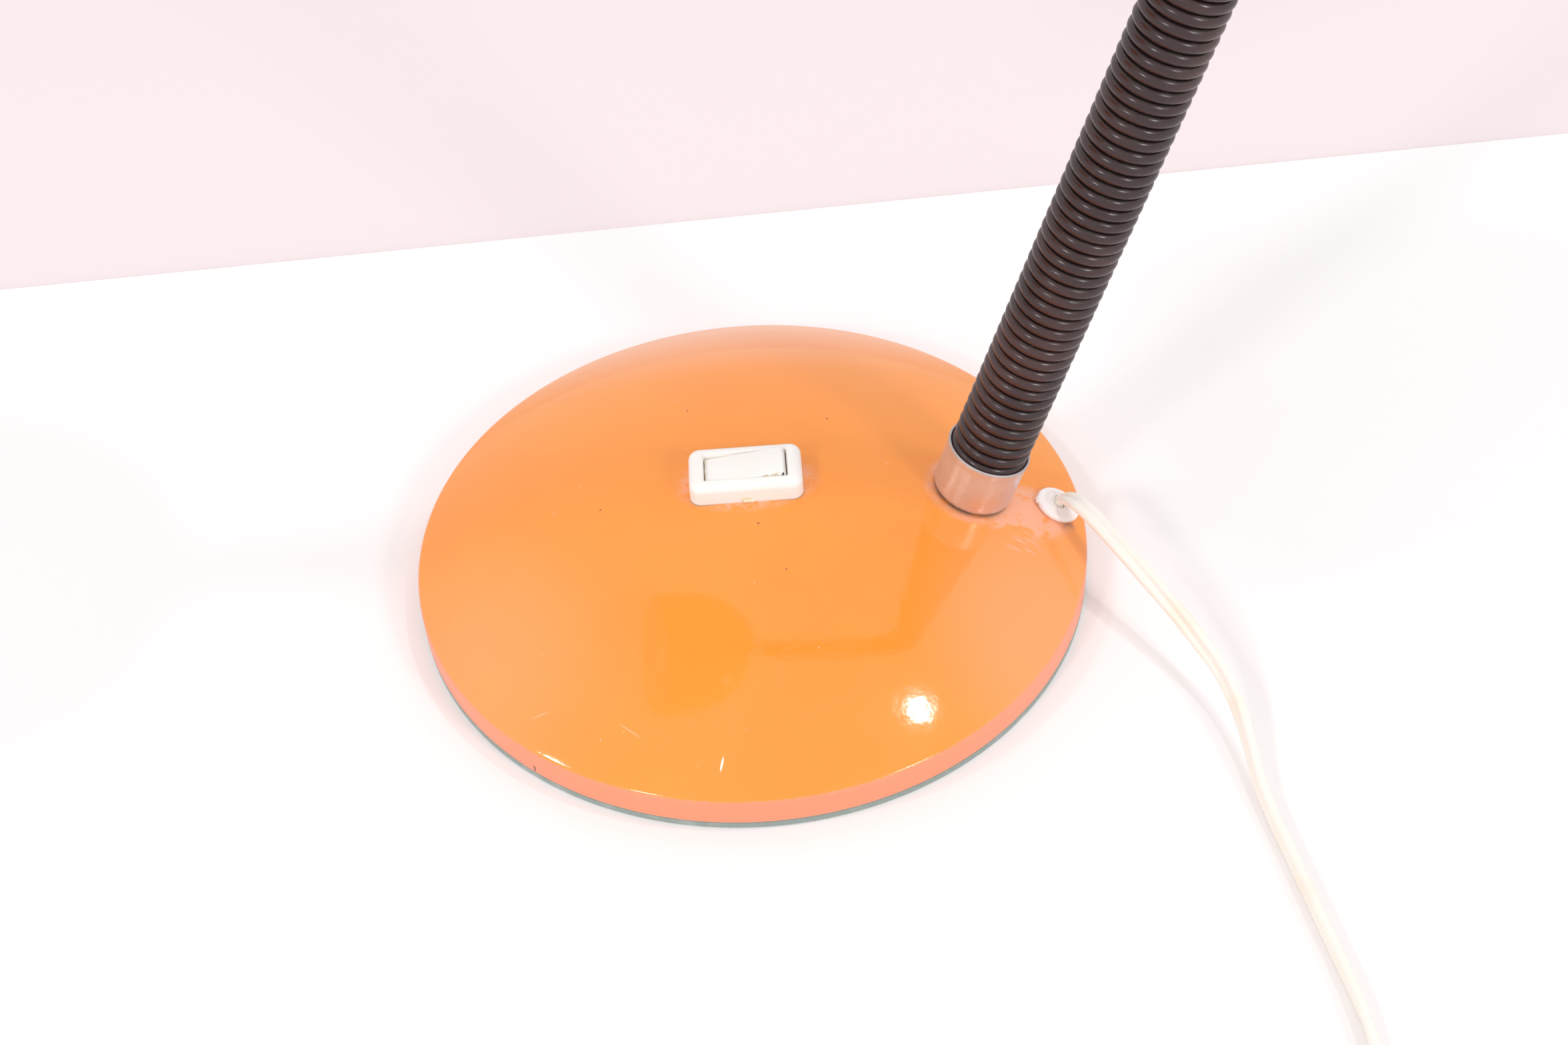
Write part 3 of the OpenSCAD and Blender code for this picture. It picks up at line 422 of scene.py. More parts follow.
def switch_plastic(name):
    """The switch's plastic, with yellow grime and painted shade where the rocker meets its frame.
    """
    plastic = white_plastic(name)
    # Yellow grime and painted shade in the gap: the window's walls darker below its top edge, and
    # the rocker's sides and ends in patches.
    x = plastic.axis("X")
    inside_x = plastic.between(plastic.away(x), 0.01205, 0.0125, FADE)
    y = plastic.axis("Y")
    inside_y = plastic.between(plastic.away(y), 0.0056, 0.0059, FADE)
    deep = plastic.between(plastic.axis("Z"), 0.0385, 0.0414, FADE)
    darkening = plastic.times(inside_x, inside_y, deep)
    if "rocker" in name:
        side = plastic.between(plastic.away(y), 0.00515, 0.0054)
        end = plastic.between(plastic.away(x), 0.0114, 0.0118)
        darkening = plastic.most(side, end)
        darkening = plastic.times(darkening, plastic.blotches(0.42, 0.6, 0.0022, 3))
    plastic.tint((0.62, 0.5, 0.27), darkening, 0.7)
    plastic.dull(0.65, darkening)
    if "frame" in name:
        nub = plastic.patch((0, -0.0092, 0.0362), (0.0021, 0.0012, 0.0012), edge=0.3)
        plastic.tint((0.85, 0.76, 0.55), nub)
        low = plastic.between(plastic.axis("Z"), 0.0352, 0.0358, FADE)
        plastic.tint((0.3, 0.24, 0.18), low, 0.75)
    return plastic.mat


def milky_vinyl():
    """Soft translucent vinyl of the cord bush."""
    vinyl = Finish("bush_vinyl", (0.97, 0.88, 0.86), 0.34, Subsurface_Weight=0.2,
                   Subsurface_Scale=0.002)
    vinyl.tint((0.88, 0.8, 0.76), vinyl.ring(BUSH_PLACE, 0.0042, 0.0012), 0.5)
    vinyl.tint((0.9, 0.76, 0.62), vinyl.blotches(0.55, 0.75, 0.006, 3, out=(0.0, 0.25)))
    vinyl.bump(vinyl.noise(0.0014, 3), 0.00005, 0.5)
    return vinyl.mat


def cord_vinyl():
    """Cream vinyl of the flat twin cord, yellowed in patches and a little soiled."""
    vinyl = Finish("cord_vinyl", (0.97, 0.93, 0.86), 0.36, Subsurface_Weight=0.15,
                   Subsurface_Scale=0.002)
    vinyl.tint((0.95, 0.83, 0.66), vinyl.blotches(0.45, 0.75, 0.02, 3, out=(0.0, 0.55)))
    vinyl.tint((0.9, 0.62, 0.36), vinyl.attribute("groove"), 0.35)
    soil = vinyl.dots(0.006, 0.03, 0.08)
    soil = vinyl.times(soil, vinyl.blotches(0.55, 0.6, 0.01, 1))
    vinyl.tint((0.4, 0.28, 0.18), soil, 0.6)
    vinyl.dull(0.5, vinyl.blotches(0.4, 0.7, 0.004, 3))
    vinyl.bump(vinyl.noise(0.0012, 3), 0.00004, 0.5)
    return vinyl.mat


def felt():
    """Grey-green pressed felt."""
    cloth = Finish("pressed_felt", (0.4, 0.48, 0.44), 0.95, Sheen_Weight=0.35)
    fibres = cloth.noise(0.0005, 5, 0.8, cloth.moved(size=(1, 1, 0.6)), 1.2)
    cloth.tint((0.24, 0.32, 0.29), cloth.between(fibres, 0.35, 0.65))
    cloth.tint((0.5, 0.56, 0.52), cloth.blotches(0.5, 0.75, 0.006, 4, out=(0.0, 0.6)))
    cloth.bump(fibres, 0.0003, 0.8)
    return cloth.mat


def plain_metal(name, colour, roughness, stain):
    """Turned or plated metal of the hidden fittings."""
    metal = Finish(name, colour, roughness, 1.0)
    metal.tint(stain, metal.blotches(0.45, 0.7, 0.004, 4, 0.6, out=(0.0, 0.7)))
    metal.dull(min(1.0, roughness + 0.25), metal.blotches(0.4, 0.7, 0.002, 4))
    metal.bump(metal.noise(0.0007, 3), 0.00003, 0.6)
    return metal.mat


def black_plastic():
    """Pressed black plastic of the lampholder."""
    plastic = Finish("holder_plastic", (0.022, 0.02, 0.019), 0.32)
    plastic.tint((0.05, 0.042, 0.036), plastic.blotches(0.45, 0.7, 0.008, 4, 0.6))
    plastic.dull(0.5, plastic.blotches(0.4, 0.65, 0.004, 4))
    plastic.bump(plastic.noise(0.0009, 3), 0.00004, 0.5)
    return plastic.mat


def porcelain():
    """Glazed clay of the lampholder's core."""
    clay = Finish("glazed_clay", (0.86, 0.83, 0.76), 0.22)
    clay.tint((0.74, 0.68, 0.58), clay.blotches(0.45, 0.7, 0.006, 4, out=(0.0, 0.6)))
    clay.bump(clay.noise(0.0012, 3), 0.00004, 0.5)
    return clay.mat


def inside_white():
    """White enamel inside the shade, toasted a little near the bulb."""
    paint = Finish("white_enamel", (0.87, 0.84, 0.78), 0.35)
    warm = paint.patch(HEAD_PLACE @ Vector((0, 0, 0.02)), (0.06, 0.06, 0.06), edge=0.8)
    paint.tint((0.72, 0.58, 0.4), warm, 0.5)
    paint.tint((0.78, 0.74, 0.66), paint.blotches(0.45, 0.7, 0.02, 4, out=(0.0, 0.5)))
    paint.bump(paint.noise(0.0022, 2), 0.00004, 0.35)
    return paint.mat


def frosted_glass():
    """Frosted glass of the bulb, faintly clouded."""
    glass = Finish("frosted_glass", (0.97, 0.96, 0.94), 0.32, Transmission_Weight=0.1,
                   Subsurface_Weight=0.3, Subsurface_Scale=0.004)
    glass.tint((0.88, 0.87, 0.83), glass.blotches(0.4, 0.7, 0.01, 3, out=(0.0, 0.6)))
    glass.bump(glass.noise(0.0007, 3), 0.00003, 0.4)
    return glass.mat


FINISH = {
    "enamel_base": base_paint(), "enamel_shade": orange_paint("orange_enamel_shade").mat,
    "foot_aluminium": aluminium("aluminium_foot", FOOT_PLACE),
    "head_aluminium": aluminium("aluminium_head", HEAD_PLACE),
    "sleeve": sleeve_vinyl(), "frame": switch_plastic("plastic_frame"),
    "rocker": switch_plastic("plastic_rocker"), "plug": white_plastic("plastic_plug").mat,
    "bush": milky_vinyl(), "cord": cord_vinyl(), "felt": felt(), "black": black_plastic(),
    "porcelain": porcelain(), "white": inside_white(), "glass": frosted_glass(),
    "zinc": plain_metal("zinc_plate", (0.62, 0.62, 0.6), 0.35, (0.45, 0.43, 0.38)),
    "iron": plain_metal("cast_iron", (0.1, 0.1, 0.105), 0.6, (0.2, 0.1, 0.06)),
    "brass": plain_metal("turned_brass", (0.78, 0.6, 0.28), 0.3, (0.5, 0.33, 0.15)),
    "nickel": plain_metal("nickel", (0.66, 0.64, 0.6), 0.28, (0.5, 0.46, 0.4)),
    "hose": plain_metal("steel_hose", (0.5, 0.5, 0.5), 0.4, (0.36, 0.3, 0.24)),
}


# ---- Modelling steps ----

def only(piece):
    """Leaves the piece alone in the selection, and active."""
    bpy.ops.object.select_all(action="DESELECT")
    piece.select_set(True)
    bpy.context.view_layer.objects.active = piece


def begin(primitive, **sizes):
    """A new primitive, alone in the selection, in edit mode and selected all over."""
    bpy.ops.object.select_all(action="DESELECT")
    primitive(**sizes)
    piece = bpy.context.object
    bpy.ops.object.transform_apply(location=True, rotation=True, scale=True)
    bpy.ops.object.mode_set(mode="EDIT")
    bpy.ops.mesh.select_mode(type="VERT")
    bpy.ops.mesh.select_all(action="SELECT")
    return piece


def pick(piece, mode, test):
    """Selects the faces, edges or vertices whose middle passes the test, and no others."""
    bpy.ops.mesh.select_mode(type=mode)
    bpy.ops.mesh.select_all(action="DESELECT")
    mesh = bmesh.from_edit_mesh(piece.data)
    for part in {"FACE": mesh.faces, "EDGE": mesh.edges, "VERT": mesh.verts}[mode]:
        if mode == "FACE":
            chosen = test(part.calc_center_median() / MM, part.normal)
        elif mode == "EDGE":
            a, b = (v.co / MM for v in part.verts)
            chosen = test((a + b) / 2, b - a)
        else:
            chosen = test(part.co / MM)
        if chosen:
            part.select_set(True)
    mesh.select_flush_mode()
    bmesh.update_edit_mesh(piece.data)


def settle(piece, angle, where=None):
    """Stands the piece in its place for good and shades it."""
    if where is not None:
        piece.matrix_world = where
    bpy.ops.object.transform_apply(location=True, rotation=True, scale=True)
    bpy.ops.object.shade_smooth_by_angle(angle=math.radians(angle))


def end(piece, name, finish, angle=35.0, where=None):
    """Leaves edit mode, and names, stands, shades and finishes the piece."""
    bpy.ops.object.mode_set(mode="OBJECT")
    piece.name = piece.data.name = name
    settle(piece, angle, where)
    for material in finish if isinstance(finish, list) else [finish]:
        piece.data.materials.append(material)
    return piece


def modify(piece, kind, **settings):
    """Adds a modifier and applies it."""
    step = piece.modifiers.new(kind.lower(), kind)
    for name, value in settings.items():
        setattr(step, name, value)
    bpy.context.view_layer.objects.active = piece
    bpy.ops.object.modifier_apply(modifier=step.name)


def cut(piece, primitive, where, **sizes):
    """Cuts a primitive that stands in a place out of the piece."""
    bpy.ops.object.select_all(action="DESELECT")
    primitive(**sizes)
    cutter = bpy.context.object
    cutter.matrix_world = where
    modify(piece, "BOOLEAN", operation="DIFFERENCE", object=cutter, solver="EXACT")
    bpy.data.objects.remove(cutter)


def line_of(points):
    """One vertex, extruded along points given in millimetres as (radius, height)."""
    piece = begin(bpy.ops.mesh.primitive_plane_add, size=0.001)
    bpy.ops.mesh.merge(type="CENTER")
    at = Vector((points[0][0], 0, points[0][1])) * MM
    bpy.ops.transform.translate(value=at)
    for r, z in points[1:]:
        step = Vector((r, 0, z)) * MM - at
        at = at + step
        bpy.ops.mesh.extrude_vertices_move(TRANSFORM_OT_translate={"value": step})
    return piece


def turned(points, steps=96):
    """A closed outline spun round the upright axis."""
    piece = line_of(points)
    bpy.ops.mesh.select_all(action="SELECT")
    bpy.ops.mesh.spin(steps=steps, angle=2 * math.pi, center=(0, 0, 0), axis=(0, 0, 1))
    bpy.ops.mesh.select_all(action="SELECT")
    bpy.ops.mesh.remove_doubles(threshold=0.000002)
    bpy.ops.mesh.normals_make_consistent(inside=False)
    return piece


def arc(cx, cz, r, start, stop, steps):
    """Points on an arc; angles in degrees from straight up, clockwise."""
    angles = [math.radians(start + (stop - start) * i / steps) for i in range(steps + 1)]
    return [(cx + r * math.sin(a), cz + r * math.cos(a)) for a in angles]


# ---- Cord ----

CORD_W, CORD_T = 5.4, 2.7
COIL_OUT, COIL_IN, COIL_LIFT, COIL_STEPS, COIL_SHIFT = 31.25, 25.75, 2.8, 20, 50.0
# Middle of the cord in millimetres, and its twist in degrees: from the bush to the coil
FREE = [
    (91.9, 0, 16.3, 0), (92.6, 0, 17.8, 0), (93.5, -0.9, 19.6, 0), (95.3, -4, 22.2, 4),
    (98.4, -9.4, 23.3, 8), (102.4, -16.4, 22.7, 14), (106.8, -24, 21.3, 22),
    (112.6, -34, 19.1, 32), (118.3, -43.9, 16.8, 42), (124, -54.6, 14.1, 52),
    (129.1, -65.5, 11.3, 62), (131.8, -76.1, 8.6, 70), (133, -87, 5.9, 76),
    (133.6, -98, 3.9, 80), (135, -109, 2.9, 84),
    (137.2, -122, 2.7, 88), (139.3, -135, 2.7, 90), (141.2, -147, 2.7, 90), (143.2, -159, 2.7, 92),
    (144.9, -171, 2.75, 100), (146.1, -183, 2.6, 120), (146.9, -196, 2.2, 145),
    (147.2, -209, 1.85, 165), (147.3, -222, 1.5, 178),
]
# From the coil to the plug
LEAD = [
    (145, -246, 12.6, 180), (138.2, -256.2, 12.6, 180), (128, -263, 12.6, 180),
    (116, -265.4, 12.6, 180), (106, -265.5, 12.6, 180), (97, -265.5, 12.5, 180),
    (88, -265.5, 11.2, 180), (79, -265.5, 8.6, 180), (71, -265.5, 7.2, 180),
    (65.1, -265.5, 7.1, 180),
]


def ease(t):
    t = min(max(t, 0.0), 1.0)
    return t * t * (3 - 2 * t)


def coil_route():
    """Eight turns, two side by side and four high, wound clockwise from the right."""
    out, back = COIL_OUT, COIL_IN
    columns = [out, back, back, out, out, back, back, out]
    layers = [0, 0, 1, 1, 2, 2, 3, 3, 4]
    points = []
    for turn, column in enumerate(columns):
        for i in range(COIL_STEPS):
            angle = 360.0 * i / COIL_STEPS
            before = columns[turn - 1] if turn else out
            r = before + (column - before) * ease(angle / COIL_SHIFT)
            low, high = layers[turn:turn + 2]
            rise = (high - low) * ease((angle - 360 + COIL_SHIFT) / COIL_SHIFT)
            z = CORD_T / 2 + 0.05 + COIL_LIFT * (low + rise)
            a = math.radians(-angle)
            points.append((COIL[0] + r * math.cos(a), COIL[1] + r * math.sin(a), z, 180))
    return points + [(COIL[0] + out, COIL[1], 12.6, 180)]


def cord_line(route, name):
    """A smooth open curve through the route."""
    bpy.ops.object.select_all(action="DESELECT")
    data = bpy.data.curves.new(name, "CURVE")
    data.dimensions, data.twist_mode, data.resolution_u = "3D", "Z_UP", 4
    spline = data.splines.new("BEZIER")
    spline.bezier_points.add(len(route) - 1)
    for point, (x, y, z, turn) in zip(spline.bezier_points, route):
        point.co = Vector((x, y, z)) * MM
        point.tilt = math.radians(turn)
        point.handle_left_type = point.handle_right_type = "AUTO"
    return linked(name, data)


def as_mesh(line):
    only(line)
    bpy.ops.object.convert(target="MESH")
    return bpy.context.object


def cord_section():
    """Two round strands side by side, joined by a thin web: the cord's cross-section."""
    data = bpy.data.curves.new("cord_section", "CURVE")
    data.dimensions = "2D"
    spline = data.splines.new("POLY")
    r, off = CORD_T / 2, (CORD_W - CORD_T) / 2
    waist, steps = 30, 12
    points = []
    for side, first in ((1, -180 + waist), (-1, waist)):
        for i in range(steps + 1):
            a = math.radians(first + (360 - 2 * waist) * i / steps)
            points.append((side * off + r * math.cos(a), r * math.sin(a)))
    spline.points.add(len(points) - 1)
    for point, (x, y) in zip(spline.points, points):
        point.co = (x * MM, y * MM, 0, 1)
    spline.use_cyclic_u = True
    return linked("cord_section", data)


def make_cord():
    route = FREE + coil_route() + LEAD
    guide = as_mesh(cord_line(route, "cord_guide"))
    path = [tuple(v.co) for v in guide.data.vertices]
    bpy.data.objects.remove(guide)
    line = cord_line(route, "mains_cord")
    section = cord_section()
    line.data.bevel_mode, line.data.bevel_object = "OBJECT", section
    line.data.use_fill_caps = True
    cord = as_mesh(line)
    bpy.data.objects.remove(section)
    bpy.ops.object.mode_set(mode="EDIT")
    bpy.ops.mesh.select_all(action="SELECT")
    bpy.ops.mesh.remove_doubles(threshold=0.000001)
    bpy.ops.mesh.normals_make_consistent(inside=False)
    end(cord, "mains_cord", FINISH["cord"], 50)
    return cord, path


cord, cord_path = make_cord()
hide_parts("power_cord", "cord_coil", "plug_lead")
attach(cord, "base")


def add(piece, body, slot, *nodes):
    """Gives a finished piece its body and hides the solids that it stands for; slot is not used.
    """
    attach(piece, body)
    if nodes:
        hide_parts(*nodes)


# ---- Base ----

def make_base():
    edge, inner_r, foot_z = BASE_R - CREASE_R, BASE_R - SHELL_T, 3.5
    crease_z = DOME_CZ + math.sqrt((DOME_R - CREASE_R) ** 2 - edge ** 2)
    turn = math.degrees(math.atan2(edge, crease_z - DOME_CZ))
    outline = [(96.0, FELT_T), (99.4, FELT_T), (99.85, FELT_T + 0.15), (BASE_R, FELT_T + 0.6),
               (BASE_R, 6.0)]
    outline += arc(edge, crease_z, CREASE_R, 90, turn, 10)
    outline += arc(0, DOME_CZ, DOME_R, turn, 0, 72)[1:-1] + [(0, DOME_TOP)]
    outline += [(0, DOME_TOP - SHELL_T)] + arc(0, DOME_CZ, DOME_R - SHELL_T, 0, turn - 0.8, 24)[1:]
    outline += [(inner_r, 9.0), (inner_r, foot_z), (96.0, foot_z), (96.0, FELT_T)]
    shell = turned(outline, 256)
    end(shell, "dome_shell", FINISH["enamel_base"])
    window = Matrix.Translation((0, 0, 34 * MM)) @ Matrix.Diagonal((28.2, 15.0, 12.0, 1))
    cut(shell, bpy.ops.mesh.primitive_cube_add, window, size=MM)
    for where in (FOOT_PLACE, BUSH_PLACE):
        cut(shell, bpy.ops.mesh.primitive_cylinder_add, where, vertices=48,
            radius=STUD_HOLE_R * MM, depth=12 * MM)
    add(shell, "base", "orange_paint", "base_shell")

    r, top = BASE_R - 0.4, FELT_T - 0.02
    pad = turned([(0, 0), (r - 0.2, 0), (r + 0.2, 0.4), (r + 0.3, 1.2), (r + 0.2, 2.1),
                  (r - 0.2, top), (0, top)], 192)
    end(pad, "felt_disc", FINISH["felt"])
    add(pad, "base", "felt", "felt_pad")


make_base()


# ---- Ferrules, bush ----

def ferrule(name, finish, where, body, node):
    """Sheet-metal cup with a rolled lip; the neck's sleeve stands in it."""
    out, lip = FERRULE_R - 0.35, 0.42
    outline = [(BORE_R, 0), (out - 2.5, 0)] + arc(out - 2.5, 2.4, 2.4, 180, 90, 8)[1:]
    outline += [(out + 0.02, 8), (out + 0.06, 14.4), (out + 0.14, 15.6), (FERRULE_R - 0.06, 16.3)]
    outline += arc(FERRULE_R - lip, FERRULE_H - lip, lip, 80, -90, 8)
    outline += [(11.66, 16.2), (11.62, 3.2), (9.6, 0.8), (BORE_R, 0.8), (BORE_R, 0)]
    cup = turned(outline, 128)
    end(cup, name, FINISH[finish], 40, where)
    add(cup, body, "spun_aluminium", node)


SEAT_GAP = Matrix.Translation((0, 0, 0.05 * MM))
ferrule("foot_cup", "foot_aluminium", FOOT_PLACE @ SEAT_GAP, "base", "foot_ferrule")
ferrule("head_cup", "head_aluminium", HEAD_PLACE @ SEAT_GAP.inverted()
        @ Matrix.Rotation(math.pi, 4, "X"), "link_11", "head_ferrule")


def make_bush():
    outline = [(5.0, -3.3), (5.0, 0.02), (6.3, 0.02)] + arc(5.85, 1.05, 0.95, 120, 10, 8)
    outline += [(5.2, 2.08), (4.6, 2.3), (4.1, 2.62)] + arc(3.45, 2.35, 0.6, 35, -90, 6)
    outline += [(2.85, -3.3), (5.0, -3.3)]
    bush = turned(outline, 96)
    pick(bush, "VERT", lambda p: math.hypot(p.x, p.y) < 3.0)
    bpy.ops.transform.resize(value=(0.56, 1, 1), center_override=(0, 0, 0))
    pick(bush, "VERT", lambda p: p.z > 2.2 and math.hypot(p.x, p.y) < 3.7 and abs(p.x) > 1.7)
    bpy.ops.transform.resize(value=(0.8, 1, 1), center_override=(0, 0, 0))
    pick(bush, "FACE", lambda p, n: p.x < -6.3 and abs(p.y) < 0.75 and 0.3 < p.z < 1.7)
    bpy.ops.mesh.extrude_region_shrink_fatten(TRANSFORM_OT_shrink_fatten={"value": 0.45 * MM})
    end(bush, "cord_grommet", FINISH["bush"], 40, BUSH_PLACE)
    add(bush, "base", "clear_bush", "cord_bush")


make_bush()


# ---- Switch ----

def box_piece(size, centre):
    """A box of that size round centre, in edit mode; both in millimetres."""
    piece = begin(bpy.ops.mesh.primitive_cube_add, size=MM)
    bpy.ops.transform.resize(value=size)
    bpy.ops.transform.translate(value=Vector(centre) * MM)
    return piece


def round_edges(piece, test, by, steps):
    pick(piece, "EDGE", test)
    bpy.ops.mesh.bevel(offset=by * MM, segments=steps, profile=0.5, affect="EDGES",
                       clamp_overlap=False)


def step_in(length, width, rise):
    """Extrudes the picked faces in place, scales them, and extrudes them up by rise."""
    bpy.ops.mesh.extrude_region_move()
    bpy.ops.transform.resize(value=(length, width, 1), center_override=(0, 0, 0))
    bpy.ops.mesh.extrude_region_move(TRANSFORM_OT_translate={"value": (0, 0, rise * MM)})


def make_switch():
    top, low, ceiling, edge = DOME_TOP + FRAME_H, DOME_TOP - 1.1, 20.75, 2.6
    frame_piece = box_piece((FRAME_L, FRAME_W, top - low), (0, 0, (top + low) / 2))
    round_edges(frame_piece, lambda p, d: abs(d.z) > 1, 3.4, 7)
    round_edges(frame_piece, lambda p, d: p.z > top - 0.01 and abs(d.z) < 0.01, edge, 7)
    pick(frame_piece, "FACE", lambda p, n: n.z > 0.9 and p.z > top - 0.01)
    step_in(WINDOW_L / (FRAME_L - 2 * edge), WINDOW_W / (FRAME_W - 2 * edge), -1.2)
    step_in(24.16 / WINDOW_L, 10.92 / WINDOW_W, -18.3)
    round_edges(frame_piece, lambda p, d: p.z > top - 0.01 and abs(p.x) < WINDOW_L / 2 + 0.1
                and abs(p.y) < WINDOW_W / 2 + 0.1, 0.35, 3)
    pick(frame_piece, "FACE", lambda p, n: n.z < -0.9 and p.z < low + 0.01)
    step_in(27 / FRAME_L, 13.8 / FRAME_W, ceiling - low)
    end(frame_piece, "switch_bezel", FINISH["frame"], 40)
    add(frame_piece, "base", "white_plastic", "switch_frame")

    nub = box_piece((3.3, 1.4, 1.0), (0.4, -8.9, DOME_TOP + 0.3))
    round_edges(nub, lambda p, d: True, 0.35, 3)
    end(nub, "bezel_nub", FINISH["frame"])
    add(nub, "base", "white_plastic")

    rocker = begin(bpy.ops.mesh.primitive_cylinder_add, vertices=160, radius=ROCKER_R * MM,
                   depth=ROCKER_W * MM, rotation=(math.pi / 2, 0, 0))
    face, back = 3.1, -2.4
    for height, up in ((face, 1), (back, -1)):
        bpy.ops.mesh.select_all(action="SELECT")
        bpy.ops.mesh.bisect(plane_co=(0, 0, height * MM), plane_no=(0, 0, up), use_fill=True,
                            clear_outer=True)
    round_edges(rocker, lambda p, d: p.z > face - 0.01 and d.length > 0.01, 0.45, 4)
    round_edges(rocker, lambda p, d: abs(abs(p.y) - ROCKER_W / 2) < 0.01 and p.z < 2.7
                and abs(d.y) < 0.01, 0.9, 4)
    end(rocker, "rocker_key", FINISH["rocker"], 30, ROCKER_PLACE)
    add(rocker, "rocker", "white_plastic", "switch_rocker")


make_switch()


# ---- Neck ----

LONG_ROW, SHORT_ROW = 10, 5  # ribs in a row across a joint, and in the last row


def rib_row(count):
    """A row of the sleeve's round-backed ribs, as a tube centred on the origin."""
    root, crown, steps = 10.1, SLEEVE_R, 10
    outline = [(root, 0)]
    for i in range(steps + 1):
        a = math.radians(180 * i / steps)
        back = root + 0.15 + (crown - root - 0.15) * math.sin(a) ** 1.15
        outline.append((back, RIB / 2 - 1.7 * math.cos(a)))
    outline.append((root, RIB))
    tube = turned(outline, 72)
    end(tube, "rib_row", [], 80)
    groove = tube.data.attributes.new("groove", "FLOAT", "POINT")
    for value, vertex in zip(groove.data, tube.data.vertices):
        value.value = (crown - math.hypot(vertex.co.x, vertex.co.y) / MM) / (crown - root)
    modify(tube, "ARRAY", fit_type="FIXED_COUNT", count=count, use_relative_offset=False,
           use_constant_offset=True, constant_offset_displace=(0, 0, RIB * MM),
           use_merge_vertices=True, merge_threshold=0.00001)
    for vertex in tube.data.vertices:
        vertex.co.z -= count * RIB * MM / 2
    return tube


def copy_of(piece, name):
    data = piece.data.copy()
    data.name = name
    return linked(name, data)


def bent(row, half):
    """Bends a row to one joint's angle, as long as its chords; returns how far inside the
    joint its middle has to stand."""
    turn = math.radians(BEND)
    radius = half / math.tan(turn / 2)
    shrink = radius * turn / (2 * half)
    for vertex in row.data.vertices:
        vertex.co.z *= shrink
    modify(row, "SIMPLE_DEFORM", deform_method="BEND", deform_axis="Y", angle=-turn)
    return radius / math.cos(turn / 2) - radius


def stand(piece, where):
    """Closes a rib tube into a wall, and stands it in its place."""
    only(piece)
    modify(piece, "SOLIDIFY", thickness=1.1 * MM, offset=-1)
    settle(piece, 60, where)
    piece.data.materials.clear()
    piece.data.materials.append(FINISH["sleeve"])


def make_neck():
    long_row, short_row = rib_row(LONG_ROW), rib_row(SHORT_ROW)
    half = LONG_ROW * RIB / 2
    foot = copy_of(long_row, "sleeve_foot")
    stand(foot, place(JOINT[1] - along(0) * 2 * half, LEAN))
    add(foot, "base", "black_sleeve", "neck_sleeve_00")
    for k in range(1, JOINTS + 1):
        row = copy_of(long_row, "sleeve_%02d" % k)
        where = place(JOINT[k], lean(k))
        if k > STRAIGHT_JOINTS:
            middle = (lean(k - 1) + lean(k)) / 2
            a = math.radians(middle)
            inward = Vector((-math.cos(a), 0, math.sin(a)))
            where = place(JOINT[k] + bent(row, half) * inward, middle)
        stand(row, where)
        # Every row is baked where it stands, the same way for each joint. At the neck's limits a
        # row can be thrown far off; this is no cure.
        if k in (5, 7, 10):
            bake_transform(row)
        else:
            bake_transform(row)
        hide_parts("neck_sleeve_%02d" % k)
    head = copy_of(short_row, "sleeve_head")
    stand(head, place(JOINT[JOINTS] + along(JOINTS) * (half + SHORT_ROW * RIB / 2), lean(JOINTS)))
    add(head, "link_11", "black_sleeve", "neck_sleeve_11")
    bpy.data.objects.remove(long_row)
    bpy.data.objects.remove(short_row)


make_neck()


# ---- Shade, lampholder and bulb ----

VENTS, VENT_R, VENT_ANGLE = 10, 2.5, 42
WHITE_END = 2.6  # where the white inside stops, short of the shade's edge


def make_shade():
    cz, inside = SHADE_R - APEX_T, SHADE_R - SHADE_T
    start = math.degrees(math.asin(APEX_R / SHADE_R))
    inner = math.degrees(math.asin(15.3 / inside))
    outline = [(BORE_R, 0), (APEX_R - 0.5, 0)]
    outline += [(r, 2 * cz - z) for r, z in arc(0, cz, SHADE_R, start, 90, 44)]
    outline += [(SHADE_R, cz + SKIRT * part) for part in (0.25, 0.5, 0.75)]
    outline += arc(SHADE_R - 1.2, SHADE_L - 1.2, 1.2, 90, -90, 12)
    outline += [(inside, SHADE_L - 2.4), (inside, cz + SKIRT * 0.5)]
    outline += [(r, 2 * cz - z) for r, z in arc(0, cz, inside, 90, inner, 30)]
    outline += [(BORE_R, SHADE_T), (BORE_R, 0)]
    shade = turned(outline, 192)
    end(shade, "bell_shade", [FINISH["enamel_shade"], FINISH["white"]])
    middle = SHADE_R - SHADE_T / 2
    for face in shade.data.polygons:
        p = face.center / MM
        r = math.hypot(p.x, p.y)
        if p.z < cz:
            within = math.hypot(r, p.z - cz) < middle and p.z > SHADE_T / 2
        else:
            within = r < middle and p.z < SHADE_L - WHITE_END
        face.material_index = 1 if within else 0
    out = Matrix.Rotation(math.radians(180 - VENT_ANGLE), 4, "Y")
    for i in range(VENTS):
        around = Matrix.Rotation(math.radians((i + 0.5) * 360 / VENTS), 4, "Z")
        where = (around @ Matrix.Translation((0, 0, cz * MM)) @ out
                 @ Matrix.Translation((0, 0, (SHADE_R - 1) * MM)))
        cut(shade, bpy.ops.mesh.primitive_cylinder_add, where, vertices=32,
            radius=VENT_R * MM, depth=10 * MM)
    only(shade)
    settle(shade, 35, HEAD_PLACE)
    add(shade, "link_11", "orange_paint", "shade")


make_shade()


def ringed(r, low, high, count, depth):
    """Outline of a barrel's side with round grooves cut into it."""
    outline = [(r, low)]
    step = (high - low) / (count + 1)
    for i in range(1, count + 1):
        z = low + i * step
        outline += [(r, z - 0.8), (r - depth, z - 0.35), (r - depth, z + 0.35), (r, z + 0.8)]
    return outline + [(r, high)]


